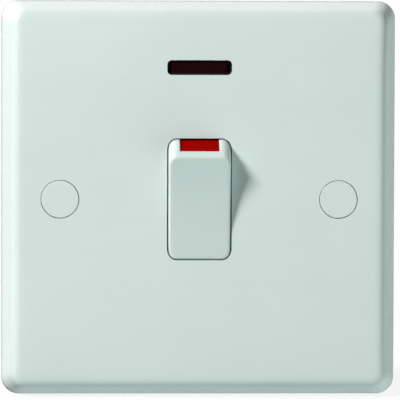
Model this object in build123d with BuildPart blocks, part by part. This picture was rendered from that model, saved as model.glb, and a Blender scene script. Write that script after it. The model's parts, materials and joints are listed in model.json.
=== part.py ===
"""Double pole wall switch: square moulded plate, rocker, neon indicator and a two pole mechanism.

Frame: +X to the right, +Z up and -Y towards the person who uses it, in millimetres.
The origin is the plate's centre on the wall plane, so the plate lies in front of Y = 0.
The rocker is modelled in its on position: lower end pressed in, upper end standing out.
"""

from build123d import *
from math import acos, asin, cos, degrees, hypot, isclose, radians, sin, sqrt, tan
import os

# Front plate
PLATE_SIZE = 86.0
PLATE_DEPTH = 9.0
PLATE_WALL = 2.4
PLATE_CORNER_R = 3.8
PLATE_EDGE_R = 1.8
PLATE_DRAFT = 17.0
PLATE_FACE_CORNER_R = 2.6
HOLLOW_CORNER_R = 1.2
HOLLOW_EDGE_R = 0.6
HOLLOW_DRAFT = 11.0
FACE_FLAT_HALF = 25.0
FACE_CROWN_R = 115.0
RIB_T = 1.2
RIB_CLEAR_OF_WALL = 2.5
RIB_X = 20.0
RIB_Z = 13.0
RIB_ROOT = 0.5
RIB_SHORT_OF_RIM = 0.3
CUT_PAST = 1.0

# Fixing points under the two round covers
FIX_CENTRES = 60.3
FIX_SEAT_DEPTH = 4.5
FIX_HOLE_R = 2.1
FIX_BOSS_R = 5.8
FIX_BOSS_SHORT = 1.2
HEAD_POCKET_R = 3.6
COVER_R = 4.04
COVER_GAP = 0.14
COVER_DISC_T = 1.3
COVER_H = 2.1
COVER_SKIRT_T = 0.6
COVER_EDGE_R = 0.12

# Fixing screws, with a plain neck below the head
FIX_SCREW_R = 1.75
FIX_SCREW_L = 25.0
FIX_NECK_R = 1.55
FIX_NECK_PAST_BOSS = 0.6
FIX_HEAD_R = 3.3
FIX_HEAD_H = 2.0
FIX_TIP_CHAMFER = 0.5
SLOT_W = 0.9
SLOT_DEPTH = 1.0
HEAD_EDGE_R = 0.6

# Rocker and its aperture
APERTURE_W = 14.0
APERTURE_H = 26.4
APERTURE_CORNER_R = 2.1
ROCKER_GAP = 0.3
ROCKER_WALL = 1.6
ROCKER_EDGE_R = 0.5
ROCKER_SKIRT = 3.0
ROCKER_DISH = 0.8
PIVOT_DEPTH = 8.0
CREST_Z = 9.2
TRUNNION_R = 1.6
TRUNNION_X = 10.4
HUB_R = 2.4
SADDLE_X = 8.4
SADDLE_T = 2.2
SADDLE_WALL = 1.7
SADDLE_PAST_PIVOT = 2.0
THRUST_GAP = 0.2
RUN_GAP = 0.1
CHEEK_R = 3.2
WEB_T = 1.2

# Red flag let into the rocker's upper end
FLAG_W = 8.5
FLAG_T = 0.5
FLAG_RECESS = 0.5
FLAG_TOP_Z = 10.5
FLAG_LIP = 0.7

# Plunger, its tube and spring, one set for each pole
POLE_X = 4.4
TUBE_R = 2.3
TUBE_BORE_R = 1.55
TUBE_REACH = 7.5
TUBE_BLIND = 5.5
NOSE_R = 0.8
NOSE_REACH = 12.0
NOSE_TAPER = 2.4
PLUNGER_SHOULDER = 0.6
SPIGOT_R = 0.7
SPIGOT_L = 2.0
SPRING_WIRE_R = 0.18
SPRING_TURNS = 6.0
SPRING_SEAT_GAP = 0.05

# Rocking contact arm
ARM_W = 4.0
ARM_T = 1.0
ARM_BEND = 11.5
ARM_SWING = 8.0
ARM_UPPER = 12.8
ARM_LOWER = 11.0
ARM_PIN_R = 0.8
ARM_PIN_L = 0.9
NOSE_CLEAR = 0.2
TIP_REACH = 11.0
TIP_R = 1.5
TIP_H = 0.9
TIP_EDGE = 0.3
RIVET_R = 0.7
CONTACT_GAP = 0.06
FIXED_TIP_R = 1.6
FIXED_TIP_H = 1.0

# Brass terminals
TONGUE_W = 4.0
TONGUE_T = 1.2
TONGUE_PAST_TIP = 2.2
PRONG_T = 0.8
PRONG_GAP = 0.15
PRONG_HALF_H = 1.8
PRONG_LIP = 1.2
STOP_Z = 9.5
STOP_W = 3.0
STOP_T = 1.0
STOP_GAP = 0.1
BLOCK_X = 8.0
BLOCK_W = 8.0
BLOCK_H = 8.0
BLOCK_D = 10.0
CABLE_R = 2.3
CABLE_WALL = 1.2
BLOCK_EDGE = 0.4

# Terminal screws, backed out so that the cable bores are clear
TERM_SCREW_R = 2.0
TERM_HEAD_R = 2.9
TERM_HEAD_H = 2.6
TERM_SCREW_L = 5.6
TERM_BACKED_OUT = 0.2
THREAD_GAP = 0.05

# Moulded base behind the plate
BASE_W = 28.0
BASE_WALL = 1.6
BASE_FLOOR_T = 2.5
BASE_CORNER_R = 2.0
BASE_EDGE_R = 1.2
CHAMBER_HALF_H = 15.0
PARTITION_T = 1.4
BAY_GAP = 0.1
END_WALL_T = 1.4
BARRIER_T = 2.4
BARRIER_BEHIND_PIVOT = 4.6
CABLE_NOTCH_R = 3.0
WELL_GAP = 0.4
COLLAR_WALL = 1.4
COLLAR_H = 1.4
KEEPER_GAP = 0.2
REAR_PANEL_DEPTH = 0.8
REAR_PANEL_MARGIN = 3.0

# Screws that hold the base to the plate
BASE_SCREW_R = 1.45
BASE_SCREW_BITE = 6.0
BASE_HEAD_R = 2.8
BASE_HEAD_H = 1.8
BASE_HEAD_SINK = 3.0
BASE_HEAD_GAP = 0.3
BASE_HOLE_GAP = 0.15
BASE_BOSS_R = 3.2

# Neon indicator
WINDOW_W = 14.0
WINDOW_H = 3.2
WINDOW_R = 1.0
LENS_GAP = 0.1
LENS_RECESS = 0.4
LENS_FLANGE = 0.8
LENS_FLANGE_T = 0.9
LENS_EDGE_R = 0.3
NEON_FLOOR_RISE = 0.2
NEON_POCKET_W = 16.0
NEON_POCKET_H = 4.8
NEON_BASE_GAP = 0.1
NEON_WALL = 1.2
NEON_REAR = 1.6
NEON_COVER_T = 1.2
NEON_LIP = 0.8
LAMP_R = 1.5
LAMP_L = 6.8
LAMP_X = -2.0
RESISTOR_R = 0.85
RESISTOR_L = 3.2
RESISTOR_WIRE_R = 0.3
LEAD_R = 0.5
LEAD_X = 7.0
LEAD_BEND_R = 1.3
LEAD_DROP_Y = 2.4
LEAD_HOLE_GAP = 0.1


def crown_drop(z: float, crown_r: float = FACE_CROWN_R) -> float:
    """How far the front face has curved back at a height."""
    run = max(abs(z) - FACE_FLAT_HALF, 0)
    return crown_r - sqrt(crown_r**2 - run**2)


# Places that follow from the sizes
FRONT_Y = -PLATE_DEPTH
INNER_Y = FRONT_Y + PLATE_WALL
PIVOT_Y = FRONT_Y + PIVOT_DEPTH
RIB_L = PLATE_SIZE - 2 * (PLATE_WALL + RIB_SHORT_OF_RIM)

APERTURE_R = hypot(APERTURE_H / 2, PIVOT_DEPTH)
ROCKER_R = APERTURE_R - ROCKER_GAP
ROCKER_W = APERTURE_W - 2 * ROCKER_GAP
CREST_ANGLE = degrees(asin(CREST_Z / ROCKER_R))
FLUSH_ANGLE = degrees(acos(PIVOT_DEPTH / ROCKER_R))
FACE_HALF_ANGLE = (FLUSH_ANGLE + CREST_ANGLE) / 2
ROCKER_TILT = (FLUSH_ANGLE - CREST_ANGLE) / 2
FACE_CHORD_U = ROCKER_R * cos(radians(FACE_HALF_ANGLE))
FACE_CHORD_HALF = ROCKER_R * sin(radians(FACE_HALF_ANGLE))
FACE_R = (FACE_CHORD_HALF**2 + ROCKER_DISH**2) / (2 * ROCKER_DISH)
FACE_MID_U = FACE_CHORD_U - ROCKER_DISH
FACE_BACK_U = FACE_MID_U - ROCKER_WALL
FLAG_TOP = 180 - degrees(asin(FLAG_TOP_Z / ROCKER_R)) - ROCKER_TILT
FLAG_BOTTOM = 180 - degrees(acos(ROCKER_SKIRT / ROCKER_R) - FLAG_LIP / ROCKER_R)

ARM_PIVOT_Y = PIVOT_Y + NOSE_REACH + NOSE_R + NOSE_CLEAR + ARM_T / 2
CLOSED_ANGLE = radians(ARM_BEND - ARM_SWING)
TIP_FACE = ARM_T / 2 + TIP_H
CONTACT_Y = ARM_PIVOT_Y + TIP_FACE * cos(CLOSED_ANGLE) - TIP_REACH * sin(CLOSED_ANGLE)
CONTACT_Z = TIP_FACE * sin(CLOSED_ANGLE) + TIP_REACH * cos(CLOSED_ANGLE)
FIXED_TIP_Y = CONTACT_Y + CONTACT_GAP
TONGUE_Y = FIXED_TIP_Y + FIXED_TIP_H
FLOOR_Y = TONGUE_Y + TONGUE_T
STOP_REST = (ARM_T / 2 - STOP_Z * sin(CLOSED_ANGLE)) / cos(CLOSED_ANGLE)
STOP_Y = ARM_PIVOT_Y + STOP_REST + STOP_GAP

BAY_Z = CHAMBER_HALF_H + PARTITION_T
BLOCK_Z = BAY_Z + BAY_GAP + BLOCK_H / 2
BAY_END_Z = BLOCK_Z + BLOCK_H / 2 + BAY_GAP
BASE_HALF_H = BAY_END_Z + END_WALL_T
BASE_REAR_Y = FLOOR_Y + BASE_FLOOR_T
BLOCK_FRONT_Y = FLOOR_Y - BLOCK_D
CABLE_Y = BLOCK_FRONT_Y + CABLE_WALL + CABLE_R
CHAMBER_HALF_W = BASE_W / 2 - BASE_WALL
BARRIER_Y = PIVOT_Y + BARRIER_BEHIND_PIVOT
WELL_R = TERM_HEAD_R + WELL_GAP
BASE_SCREW_Z = BLOCK_Z
SADDLE_SLOT_R = TRUNNION_R + RUN_GAP
KEEPER_HALF = SADDLE_SLOT_R - KEEPER_GAP
KEEPER_Y = PIVOT_Y + sqrt(SADDLE_SLOT_R**2 - KEEPER_HALF**2)
FIX_SEAT_Y = FRONT_Y + FIX_SEAT_DEPTH
FIX_X = FIX_CENTRES / 2
FIX_NECK_L = FIX_NECK_PAST_BOSS - FIX_BOSS_SHORT - FIX_SEAT_Y

WINDOW_Z = BASE_HALF_H + NEON_BASE_GAP + NEON_POCKET_H / 2
NEON_FLOOR_Y = INNER_Y + NEON_FLOOR_RISE
NEON_REAR_Y = -NEON_REAR
LENS_FRONT_Y = FRONT_Y + LENS_RECESS + crown_drop(WINDOW_Z)
LAMP_Y = NEON_FLOOR_Y + LENS_FLANGE_T + LENS_GAP / 2 + LAMP_R
LAMP_LEFT_X = LAMP_X - LAMP_L / 2
LAMP_RIGHT_X = LAMP_X + LAMP_L / 2
RESISTOR_RIGHT_X = -LAMP_LEFT_X
RESISTOR_LEFT_X = RESISTOR_RIGHT_X - RESISTOR_L

# Planes and directions
TILT = radians(ROCKER_TILT)
ROCKER_REAR = Vector(0, cos(TILT), sin(TILT))
X_DIR = Vector(1, 0, 0)
ARM_TURN = radians(-ARM_SWING)
POLES = {"live": -1, "neutral": 1}


def at_y(y: float) -> Plane:
    """Plane across the depth axis at the given place, drawn in X and Z and facing the front."""
    return Plane.XZ.offset(-y)


def rocker_side(x: float = 0) -> Plane:
    """Plane across the pivot that tilts with the rocker: its X runs to the rear, its Y up."""
    return Plane(origin=(x, PIVOT_Y, 0), x_dir=ROCKER_REAR, z_dir=X_DIR)


def rocker_depth(reach: float, x: float = 0) -> Plane:
    """Plane across the rocker's plunger tubes, a given way behind the pivot and facing the rear."""
    return Plane(origin=Vector(x, PIVOT_Y, 0) + ROCKER_REAR * reach, x_dir=X_DIR, z_dir=ROCKER_REAR)


def plate_form(inset: float, draft: float, corner: float, face_corner: float, edge: float) -> Part:
    """The plate's outer form with leaning sides, or the hollow behind it when set in by the wall."""
    size = PLATE_SIZE - 2 * inset
    depth = PLATE_DEPTH - inset
    face_size = size - 2 * depth * tan(radians(draft))
    crown_r = FACE_CROWN_R - inset
    past = size / 2 + CUT_PAST
    with BuildPart() as form:
        with BuildSketch(Plane.XZ):
            RectangleRounded(size, size, corner)
        with BuildSketch(at_y(-depth)):
            RectangleRounded(face_size, face_size, face_corner)
        loft(ruled=True)
        with BuildSketch(Plane.YZ):
            with BuildLine():
                flat = Line((-depth, -FACE_FLAT_HALF), (-depth, FACE_FLAT_HALF))
                drop = crown_drop(past, crown_r) - depth
                top = TangentArc(flat @ 1, (drop, past), tangent=flat % 1)
                bottom = TangentArc(flat @ 0, (drop, -past), tangent=-(flat % 0))
                front = -depth - CUT_PAST
                Polyline(top @ 1, (front, past), (front, -past), bottom @ 1)
            make_face()
        extrude(amount=past, both=True, mode=Mode.SUBTRACT)
        front_edges = form.faces().filter_by(lambda f: f.normal_at().Y < -0.5).edges()
        rim = front_edges.filter_by(lambda e: not isclose(abs(e.center().Z), FACE_FLAT_HALF))
        fillet(rim, edge)
    return form.part


def rocker_disc(radius: float, width: float, corner: float) -> Part:
    """Disc about the rocker's pivot with rounded rims: the form of the rocker and of its aperture."""
    with BuildPart() as disc:
        with BuildSketch(rocker_side()):
            Circle(radius)
        extrude(amount=width / 2, both=True)
        fillet(disc.edges().filter_by(GeomType.CIRCLE), corner)
    return disc.part


def flag_form(outer_r: float) -> Part:
    """Sector of the rocker's upper end that the flag fills, out to a given radius."""
    span = FLAG_TOP - FLAG_BOTTOM
    with BuildPart() as sector:
        with BuildSketch(rocker_side()):
            with BuildLine():
                outer = CenterArc((0, 0), outer_r, FLAG_BOTTOM, span)
                inner = CenterArc((0, 0), ROCKER_R - FLAG_RECESS - FLAG_T, FLAG_BOTTOM, span)
                Line(outer @ 0, inner @ 0)
                Line(outer @ 1, inner @ 1)
            make_face()
        extrude(amount=FLAG_W / 2, both=True)
    return sector.part


def terminal_block(side: int, end: int) -> Part:
    """Brass block for one cable: bore along Z, screw hole from the rear."""
    middle = (side * BLOCK_X, end * BLOCK_Z)
    with BuildPart() as block:
        with BuildSketch(at_y(FLOOR_Y)):
            with Locations(middle):
                Rectangle(BLOCK_W, BLOCK_H)
        extrude(amount=BLOCK_D)
        chamfer(block.faces().sort_by(Axis.Y)[0].edges(), BLOCK_EDGE)
        with BuildSketch(Plane.XY.offset(end * BLOCK_Z)):
            with Locations((side * BLOCK_X, CABLE_Y)):
                Circle(CABLE_R)
        extrude(amount=BLOCK_H / 2, both=True, mode=Mode.SUBTRACT)
        with BuildSketch(at_y(FLOOR_Y)):
            with Locations(middle):
                Circle(TERM_SCREW_R + THREAD_GAP)
        extrude(amount=FLOOR_Y - CABLE_Y, mode=Mode.SUBTRACT)
    return block.part


def arm_side(x: float) -> Plane:
    """Plane across a contact arm's pivot that turns with the arm: X runs to the rear, Y up."""
    rear = (0, cos(ARM_TURN), sin(ARM_TURN))
    return Plane(origin=(x, ARM_PIVOT_Y, 0), x_dir=rear, z_dir=X_DIR)


def tip_plane(x: float) -> Plane:
    """Plane on the rear of a closed arm, where its contact tip is riveted."""
    out = Vector(0, cos(CLOSED_ANGLE), sin(CLOSED_ANGLE))
    along = Vector(0, -sin(CLOSED_ANGLE), cos(CLOSED_ANGLE))
    origin = Vector(x, ARM_PIVOT_Y, 0) + along * TIP_REACH + out * (ARM_T / 2)
    return Plane(origin=origin, x_dir=X_DIR, z_dir=out)


def save(piece: BuildPart, name: str) -> None:
    """Label a finished piece and write it to its own file."""
    piece.part.label = name
    export_step(piece.part, f"parts/{name}.step")


os.makedirs("parts", exist_ok=True)

# Front plate: hollow shell, frame for the base, bosses, saddles and ribs
with BuildPart() as front_plate:
    add(plate_form(0, PLATE_DRAFT, PLATE_CORNER_R, PLATE_FACE_CORNER_R, PLATE_EDGE_R))
    hollow = plate_form(PLATE_WALL, HOLLOW_DRAFT, HOLLOW_CORNER_R, HOLLOW_CORNER_R, HOLLOW_EDGE_R)
    add(hollow, mode=Mode.SUBTRACT)
    with BuildSketch(at_y(-RIB_CLEAR_OF_WALL)):
        with GridLocations(2 * RIB_X, 0, 2, 1):
            Rectangle(RIB_T, RIB_L)
        with GridLocations(0, 2 * RIB_Z, 1, 2):
            Rectangle(RIB_L, RIB_T)
        Rectangle(BASE_W, 2 * BASE_HALF_H, mode=Mode.SUBTRACT)
    extrude(amount=-INNER_Y - RIB_CLEAR_OF_WALL + RIB_ROOT)
    with BuildSketch(Plane.XZ):
        RectangleRounded(BASE_W, 2 * BASE_HALF_H, BASE_CORNER_R)
        Rectangle(2 * CHAMBER_HALF_W, 2 * BAY_END_Z, mode=Mode.SUBTRACT)
        with GridLocations(0, 2 * BASE_SCREW_Z, 1, 2):
            Circle(BASE_BOSS_R)
    extrude(amount=-INNER_Y + RIB_ROOT)
    with BuildSketch(at_y(-FIX_BOSS_SHORT)):
        with GridLocations(FIX_CENTRES, 0, 2, 1):
            Circle(FIX_BOSS_R)
    extrude(amount=-INNER_Y - FIX_BOSS_SHORT + RIB_ROOT)
    with BuildSketch(at_y(NEON_REAR_Y)):
        with Locations((0, WINDOW_Z)):
            Rectangle(NEON_POCKET_W + 2 * NEON_WALL, NEON_POCKET_H + 2 * NEON_WALL)
    extrude(amount=NEON_REAR_Y - INNER_Y + RIB_ROOT)
    with BuildSketch(at_y(PIVOT_Y + SADDLE_PAST_PIVOT)):
        with GridLocations(2 * SADDLE_X + SADDLE_T, 0, 2, 1):
            Rectangle(SADDLE_T, 2 * (SADDLE_SLOT_R + SADDLE_WALL))
    extrude(amount=PIVOT_Y + SADDLE_PAST_PIVOT - INNER_Y + RIB_ROOT)
    with BuildSketch(Plane.YZ):
        with Locations((PIVOT_Y, 0)):
            Circle(SADDLE_SLOT_R)
        with Locations((PIVOT_Y + SADDLE_PAST_PIVOT / 2, 0)):
            Rectangle(SADDLE_PAST_PIVOT, 2 * SADDLE_SLOT_R)
    extrude(amount=SADDLE_X + SADDLE_T, both=True, mode=Mode.SUBTRACT)
    add(rocker_disc(APERTURE_R, APERTURE_W, APERTURE_CORNER_R), mode=Mode.SUBTRACT)
    with BuildSketch(at_y(NEON_FLOOR_Y)):
        with Locations((0, WINDOW_Z)):
            Rectangle(NEON_POCKET_W, NEON_POCKET_H)
    extrude(amount=NEON_FLOOR_Y - NEON_REAR_Y, mode=Mode.SUBTRACT)
    with BuildSketch(at_y(NEON_FLOOR_Y)):
        with Locations((0, WINDOW_Z)):
            RectangleRounded(WINDOW_W, WINDOW_H, WINDOW_R)
    extrude(amount=NEON_FLOOR_Y - FRONT_Y, mode=Mode.SUBTRACT)
    with BuildSketch(Plane.XZ):
        with GridLocations(0, 2 * BASE_SCREW_Z, 1, 2):
            Circle(BASE_SCREW_R + THREAD_GAP)
    extrude(amount=BASE_SCREW_BITE, mode=Mode.SUBTRACT)
    with BuildSketch(Plane.XZ):
        with GridLocations(FIX_CENTRES, 0, 2, 1):
            Circle(FIX_HOLE_R)
    extrude(amount=PLATE_DEPTH, mode=Mode.SUBTRACT)
    with BuildSketch(at_y(FIX_SEAT_Y)):
        with GridLocations(FIX_CENTRES, 0, 2, 1):
            Circle(HEAD_POCKET_R)
    extrude(amount=FIX_SEAT_DEPTH, mode=Mode.SUBTRACT)
    with BuildSketch(at_y(FRONT_Y + COVER_H)):
        with GridLocations(FIX_CENTRES, 0, 2, 1):
            Circle(COVER_R + COVER_GAP)
    extrude(amount=COVER_H, mode=Mode.SUBTRACT)
save(front_plate, "front_plate")

# Rocker: dished hollow shell with cheeks, trunnions, a web and the two plunger tubes
with BuildPart() as rocker:
    add(rocker_disc(ROCKER_R, ROCKER_W, APERTURE_CORNER_R - ROCKER_GAP))
    with BuildSketch(rocker_side()):
        with Locations((-FACE_MID_U - FACE_R, 0)):
            Circle(FACE_R)
        with Locations((-ROCKER_SKIRT, 0)):
            Rectangle(2 * ROCKER_R, 2 * ROCKER_R + CUT_PAST, align=(Align.MIN, Align.CENTER))
    extrude(amount=ROCKER_W, both=True, mode=Mode.SUBTRACT)
    dish = rocker.faces().sort_by_distance(rocker_side().from_local_coords((-FACE_MID_U, 0, 0)))[0]
    fillet(dish.edges(), ROCKER_EDGE_R)
    with BuildSketch(rocker_side()):
        Circle(ROCKER_R - ROCKER_WALL)
        with Locations((-FACE_BACK_U - ROCKER_R, 0)):
            Rectangle(2 * ROCKER_R, 2 * ROCKER_R, mode=Mode.SUBTRACT)
    extrude(amount=ROCKER_W / 2 - ROCKER_WALL, both=True, mode=Mode.SUBTRACT)
    with BuildSketch(*[rocker_side(s * (ROCKER_W - ROCKER_WALL) / 2) for s in POLES.values()]):
        Circle(CHEEK_R)
        with Locations((-CHEEK_R, 0)):
            Rectangle(2 * CHEEK_R, 2 * CHEEK_R)
    extrude(amount=ROCKER_WALL / 2, both=True)
    with BuildSketch(rocker_side()):
        with Locations((-FACE_BACK_U / 2, 0)):
            Rectangle(FACE_BACK_U, WEB_T)
    extrude(amount=ROCKER_W / 2 - ROCKER_WALL, both=True)
    with BuildSketch(*[rocker_depth(-FACE_BACK_U, s * POLE_X) for s in POLES.values()]):
        Circle(TUBE_R)
    extrude(amount=FACE_BACK_U + TUBE_REACH)
    with BuildSketch(*[rocker_depth(-TUBE_BLIND, s * POLE_X) for s in POLES.values()]):
        Circle(TUBE_BORE_R)
    extrude(amount=TUBE_BLIND + TUBE_REACH, mode=Mode.SUBTRACT)
    with BuildSketch(rocker_side(ROCKER_W / 2), rocker_side(-SADDLE_X + THRUST_GAP)):
        Circle(HUB_R)
    extrude(amount=SADDLE_X - THRUST_GAP - ROCKER_W / 2)
    with BuildSketch(rocker_side(ROCKER_W / 2), rocker_side(-TRUNNION_X)):
        Circle(TRUNNION_R)
    extrude(amount=TRUNNION_X - ROCKER_W / 2)
    add(flag_form(ROCKER_R + FLAG_T), mode=Mode.SUBTRACT)
save(rocker, "rocker")

# Red flag in the rocker's upper end
with BuildPart() as rocker_flag:
    add(flag_form(ROCKER_R - FLAG_RECESS))
save(rocker_flag, "rocker_flag")

# Round covers over the fixing screws
for cover_name, side in (("screw_cover_left", -1), ("screw_cover_right", 1)):
    with BuildPart() as screw_cover:
        with BuildSketch(at_y(FRONT_Y + COVER_H)):
            with Locations((side * FIX_X, 0)):
                Circle(COVER_R)
        extrude(amount=COVER_H)
        fillet(screw_cover.faces().sort_by(Axis.Y)[0].edges(), COVER_EDGE_R)
        with BuildSketch(at_y(FRONT_Y + COVER_H)):
            with Locations((side * FIX_X, 0)):
                Circle(COVER_R - COVER_SKIRT_T)
        extrude(amount=COVER_H - COVER_DISC_T, mode=Mode.SUBTRACT)
    save(screw_cover, cover_name)

# Fixing screws
with BuildPart() as fixing_screws:
    with BuildSketch(at_y(FIX_SEAT_Y)):
        with GridLocations(FIX_CENTRES, 0, 2, 1):
            Circle(FIX_HEAD_R)
    extrude(amount=FIX_HEAD_H)
    fillet(fixing_screws.edges().group_by(Axis.Y)[0], HEAD_EDGE_R)
    with BuildSketch(at_y(FIX_SEAT_Y - FIX_HEAD_H)):
        with GridLocations(FIX_CENTRES, 0, 2, 1):
            Rectangle(2 * FIX_HEAD_R, SLOT_W)
    extrude(amount=-SLOT_DEPTH, mode=Mode.SUBTRACT)
    with BuildSketch(at_y(FIX_SEAT_Y + FIX_NECK_L)):
        with GridLocations(FIX_CENTRES, 0, 2, 1):
            Circle(FIX_NECK_R)
    extrude(amount=FIX_NECK_L)
    with BuildSketch(at_y(FIX_SEAT_Y + FIX_SCREW_L)):
        with GridLocations(FIX_CENTRES, 0, 2, 1):
            Circle(FIX_SCREW_R)
    extrude(amount=FIX_SCREW_L - FIX_NECK_L)
    chamfer(fixing_screws.edges().group_by(Axis.Y)[-1], FIX_TIP_CHAMFER)
save(fixing_screws, "fixing_screws")

# Switch base: tray with pole chambers, terminal bays, barrier, keepers and screw wells
with BuildPart() as switch_base:
    with BuildSketch(at_y(BASE_REAR_Y)):
        RectangleRounded(BASE_W, 2 * BASE_HALF_H, BASE_CORNER_R)
    extrude(amount=BASE_REAR_Y)
    fillet(switch_base.faces().sort_by(Axis.Y)[-1].edges(), BASE_EDGE_R)
    with BuildSketch(at_y(BARRIER_Y)):
        Rectangle(2 * CHAMBER_HALF_W, 2 * CHAMBER_HALF_H)
    extrude(amount=BARRIER_Y, mode=Mode.SUBTRACT)
    with BuildSketch(at_y(FLOOR_Y)):
        Rectangle(2 * CHAMBER_HALF_W, 2 * CHAMBER_HALF_H)
        Rectangle(BARRIER_T, 2 * CHAMBER_HALF_H, mode=Mode.SUBTRACT)
    extrude(amount=FLOOR_Y - BARRIER_Y, mode=Mode.SUBTRACT)
    with BuildSketch(at_y(FLOOR_Y)):
        with GridLocations(2 * BLOCK_X, 2 * BLOCK_Z, 2, 2):
            Rectangle(BLOCK_W + 2 * BAY_GAP, BLOCK_H + 2 * BAY_GAP)
    extrude(amount=FLOOR_Y, mode=Mode.SUBTRACT)
    with BuildSketch(at_y(FLOOR_Y)):
        with GridLocations(2 * POLE_X, 2 * CHAMBER_HALF_H + PARTITION_T, 2, 2):
            Rectangle(TONGUE_W + 2 * BAY_GAP, PARTITION_T + 2 * BAY_GAP)
    extrude(amount=TONGUE_T + BAY_GAP, mode=Mode.SUBTRACT)
    with BuildSketch(Plane.XY.offset(BAY_END_Z), Plane.XY.offset(-BASE_HALF_H)):
        with Locations((-BLOCK_X, CABLE_Y), (BLOCK_X, CABLE_Y)):
            Circle(CABLE_NOTCH_R)
        with Locations((-BLOCK_X, CABLE_Y / 2), (BLOCK_X, CABLE_Y / 2)):
            Rectangle(2 * CABLE_NOTCH_R, CABLE_Y)
    extrude(amount=END_WALL_T, mode=Mode.SUBTRACT)
    with BuildSketch(at_y(BASE_REAR_Y)):
        panel_half_h = BLOCK_Z - WELL_R - COLLAR_WALL - REAR_PANEL_MARGIN
        RectangleRounded(BASE_W - 2 * REAR_PANEL_MARGIN, 2 * panel_half_h, BASE_CORNER_R)
    extrude(amount=REAR_PANEL_DEPTH, mode=Mode.SUBTRACT)
    with BuildSketch(at_y(BASE_REAR_Y + COLLAR_H)):
        with GridLocations(2 * BLOCK_X, 2 * BLOCK_Z, 2, 2):
            Circle(WELL_R + COLLAR_WALL)
    extrude(amount=COLLAR_H + BASE_FLOOR_T / 2)
    with BuildSketch(at_y(BASE_REAR_Y + COLLAR_H)):
        with GridLocations(2 * BLOCK_X, 2 * BLOCK_Z, 2, 2):
            Circle(WELL_R)
    extrude(amount=COLLAR_H + BASE_FLOOR_T, mode=Mode.SUBTRACT)
    with BuildSketch(at_y(BASE_REAR_Y)):
        with GridLocations(0, 2 * BASE_SCREW_Z, 1, 2):
            Circle(BASE_SCREW_R + BASE_HOLE_GAP)
    extrude(amount=BASE_REAR_Y, mode=Mode.SUBTRACT)
    with BuildSketch(at_y(BASE_REAR_Y)):
        with GridLocations(0, 2 * BASE_SCREW_Z, 1, 2):
            Circle(BASE_HEAD_R + BASE_HEAD_GAP)
    extrude(amount=BASE_HEAD_SINK, mode=Mode.SUBTRACT)
    with BuildSketch(at_y(FLOOR_Y)):
        with GridLocations(SADDLE_X + CHAMBER_HALF_W, 0, 2, 1):
            Rectangle(CHAMBER_HALF_W - SADDLE_X, 2 * KEEPER_HALF)
    extrude(amount=FLOOR_Y - KEEPER_Y)
    with BuildSketch(Plane.YZ):
        with Locations((PIVOT_Y, 0)):
            Circle(SADDLE_SLOT_R)
    extrude(amount=CHAMBER_HALF_W, both=True, mode=Mode.SUBTRACT)
save(switch_base, "switch_base")

# Screws that hold the base to the plate
with BuildPart() as base_screws:
    head_seat_y = BASE_REAR_Y - BASE_HEAD_SINK
    with BuildSketch(at_y(head_seat_y + BASE_HEAD_H)):
        with GridLocations(0, 2 * BASE_SCREW_Z, 1, 2):
            Circle(BASE_HEAD_R)
    extrude(amount=BASE_HEAD_H)
    fillet(base_screws.edges().group_by(Axis.Y)[-1], HEAD_EDGE_R)
    with BuildSketch(at_y(head_seat_y + BASE_HEAD_H)):
        with GridLocations(0, 2 * BASE_SCREW_Z, 1, 2):
            Rectangle(2 * BASE_HEAD_R, SLOT_W)
    extrude(amount=SLOT_DEPTH, mode=Mode.SUBTRACT)
    with BuildSketch(at_y(head_seat_y)):
        with GridLocations(0, 2 * BASE_SCREW_Z, 1, 2):
            Circle(BASE_SCREW_R)
    extrude(amount=head_seat_y + BASE_SCREW_BITE - THREAD_GAP)
    chamfer(base_screws.edges().group_by(Axis.Y)[0], BASE_SCREW_R / 2)
save(base_screws, "base_screws")

# Terminal screws
with BuildPart() as terminal_screws:
    screw_tip_y = CABLE_Y + CABLE_R + TERM_BACKED_OUT
    head_under_y = screw_tip_y + TERM_SCREW_L
    with BuildSketch(at_y(head_under_y)):
        with GridLocations(2 * BLOCK_X, 2 * BLOCK_Z, 2, 2):
            Circle(TERM_SCREW_R)
    extrude(amount=TERM_SCREW_L)
    chamfer(terminal_screws.edges().group_by(Axis.Y)[0], FIX_TIP_CHAMFER)
    with BuildSketch(at_y(head_under_y + TERM_HEAD_H)):
        with GridLocations(2 * BLOCK_X, 2 * BLOCK_Z, 2, 2):
            Circle(TERM_HEAD_R)
    extrude(amount=TERM_HEAD_H)
    fillet(terminal_screws.edges().group_by(Axis.Y)[-1], HEAD_EDGE_R)
    with BuildSketch(at_y(head_under_y + TERM_HEAD_H)):
        with GridLocations(2 * BLOCK_X, 2 * BLOCK_Z, 2, 2):
            Rectangle(2 * TERM_HEAD_R, SLOT_W)
    extrude(amount=SLOT_DEPTH, mode=Mode.SUBTRACT)
save(terminal_screws, "terminal_screws")

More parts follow.
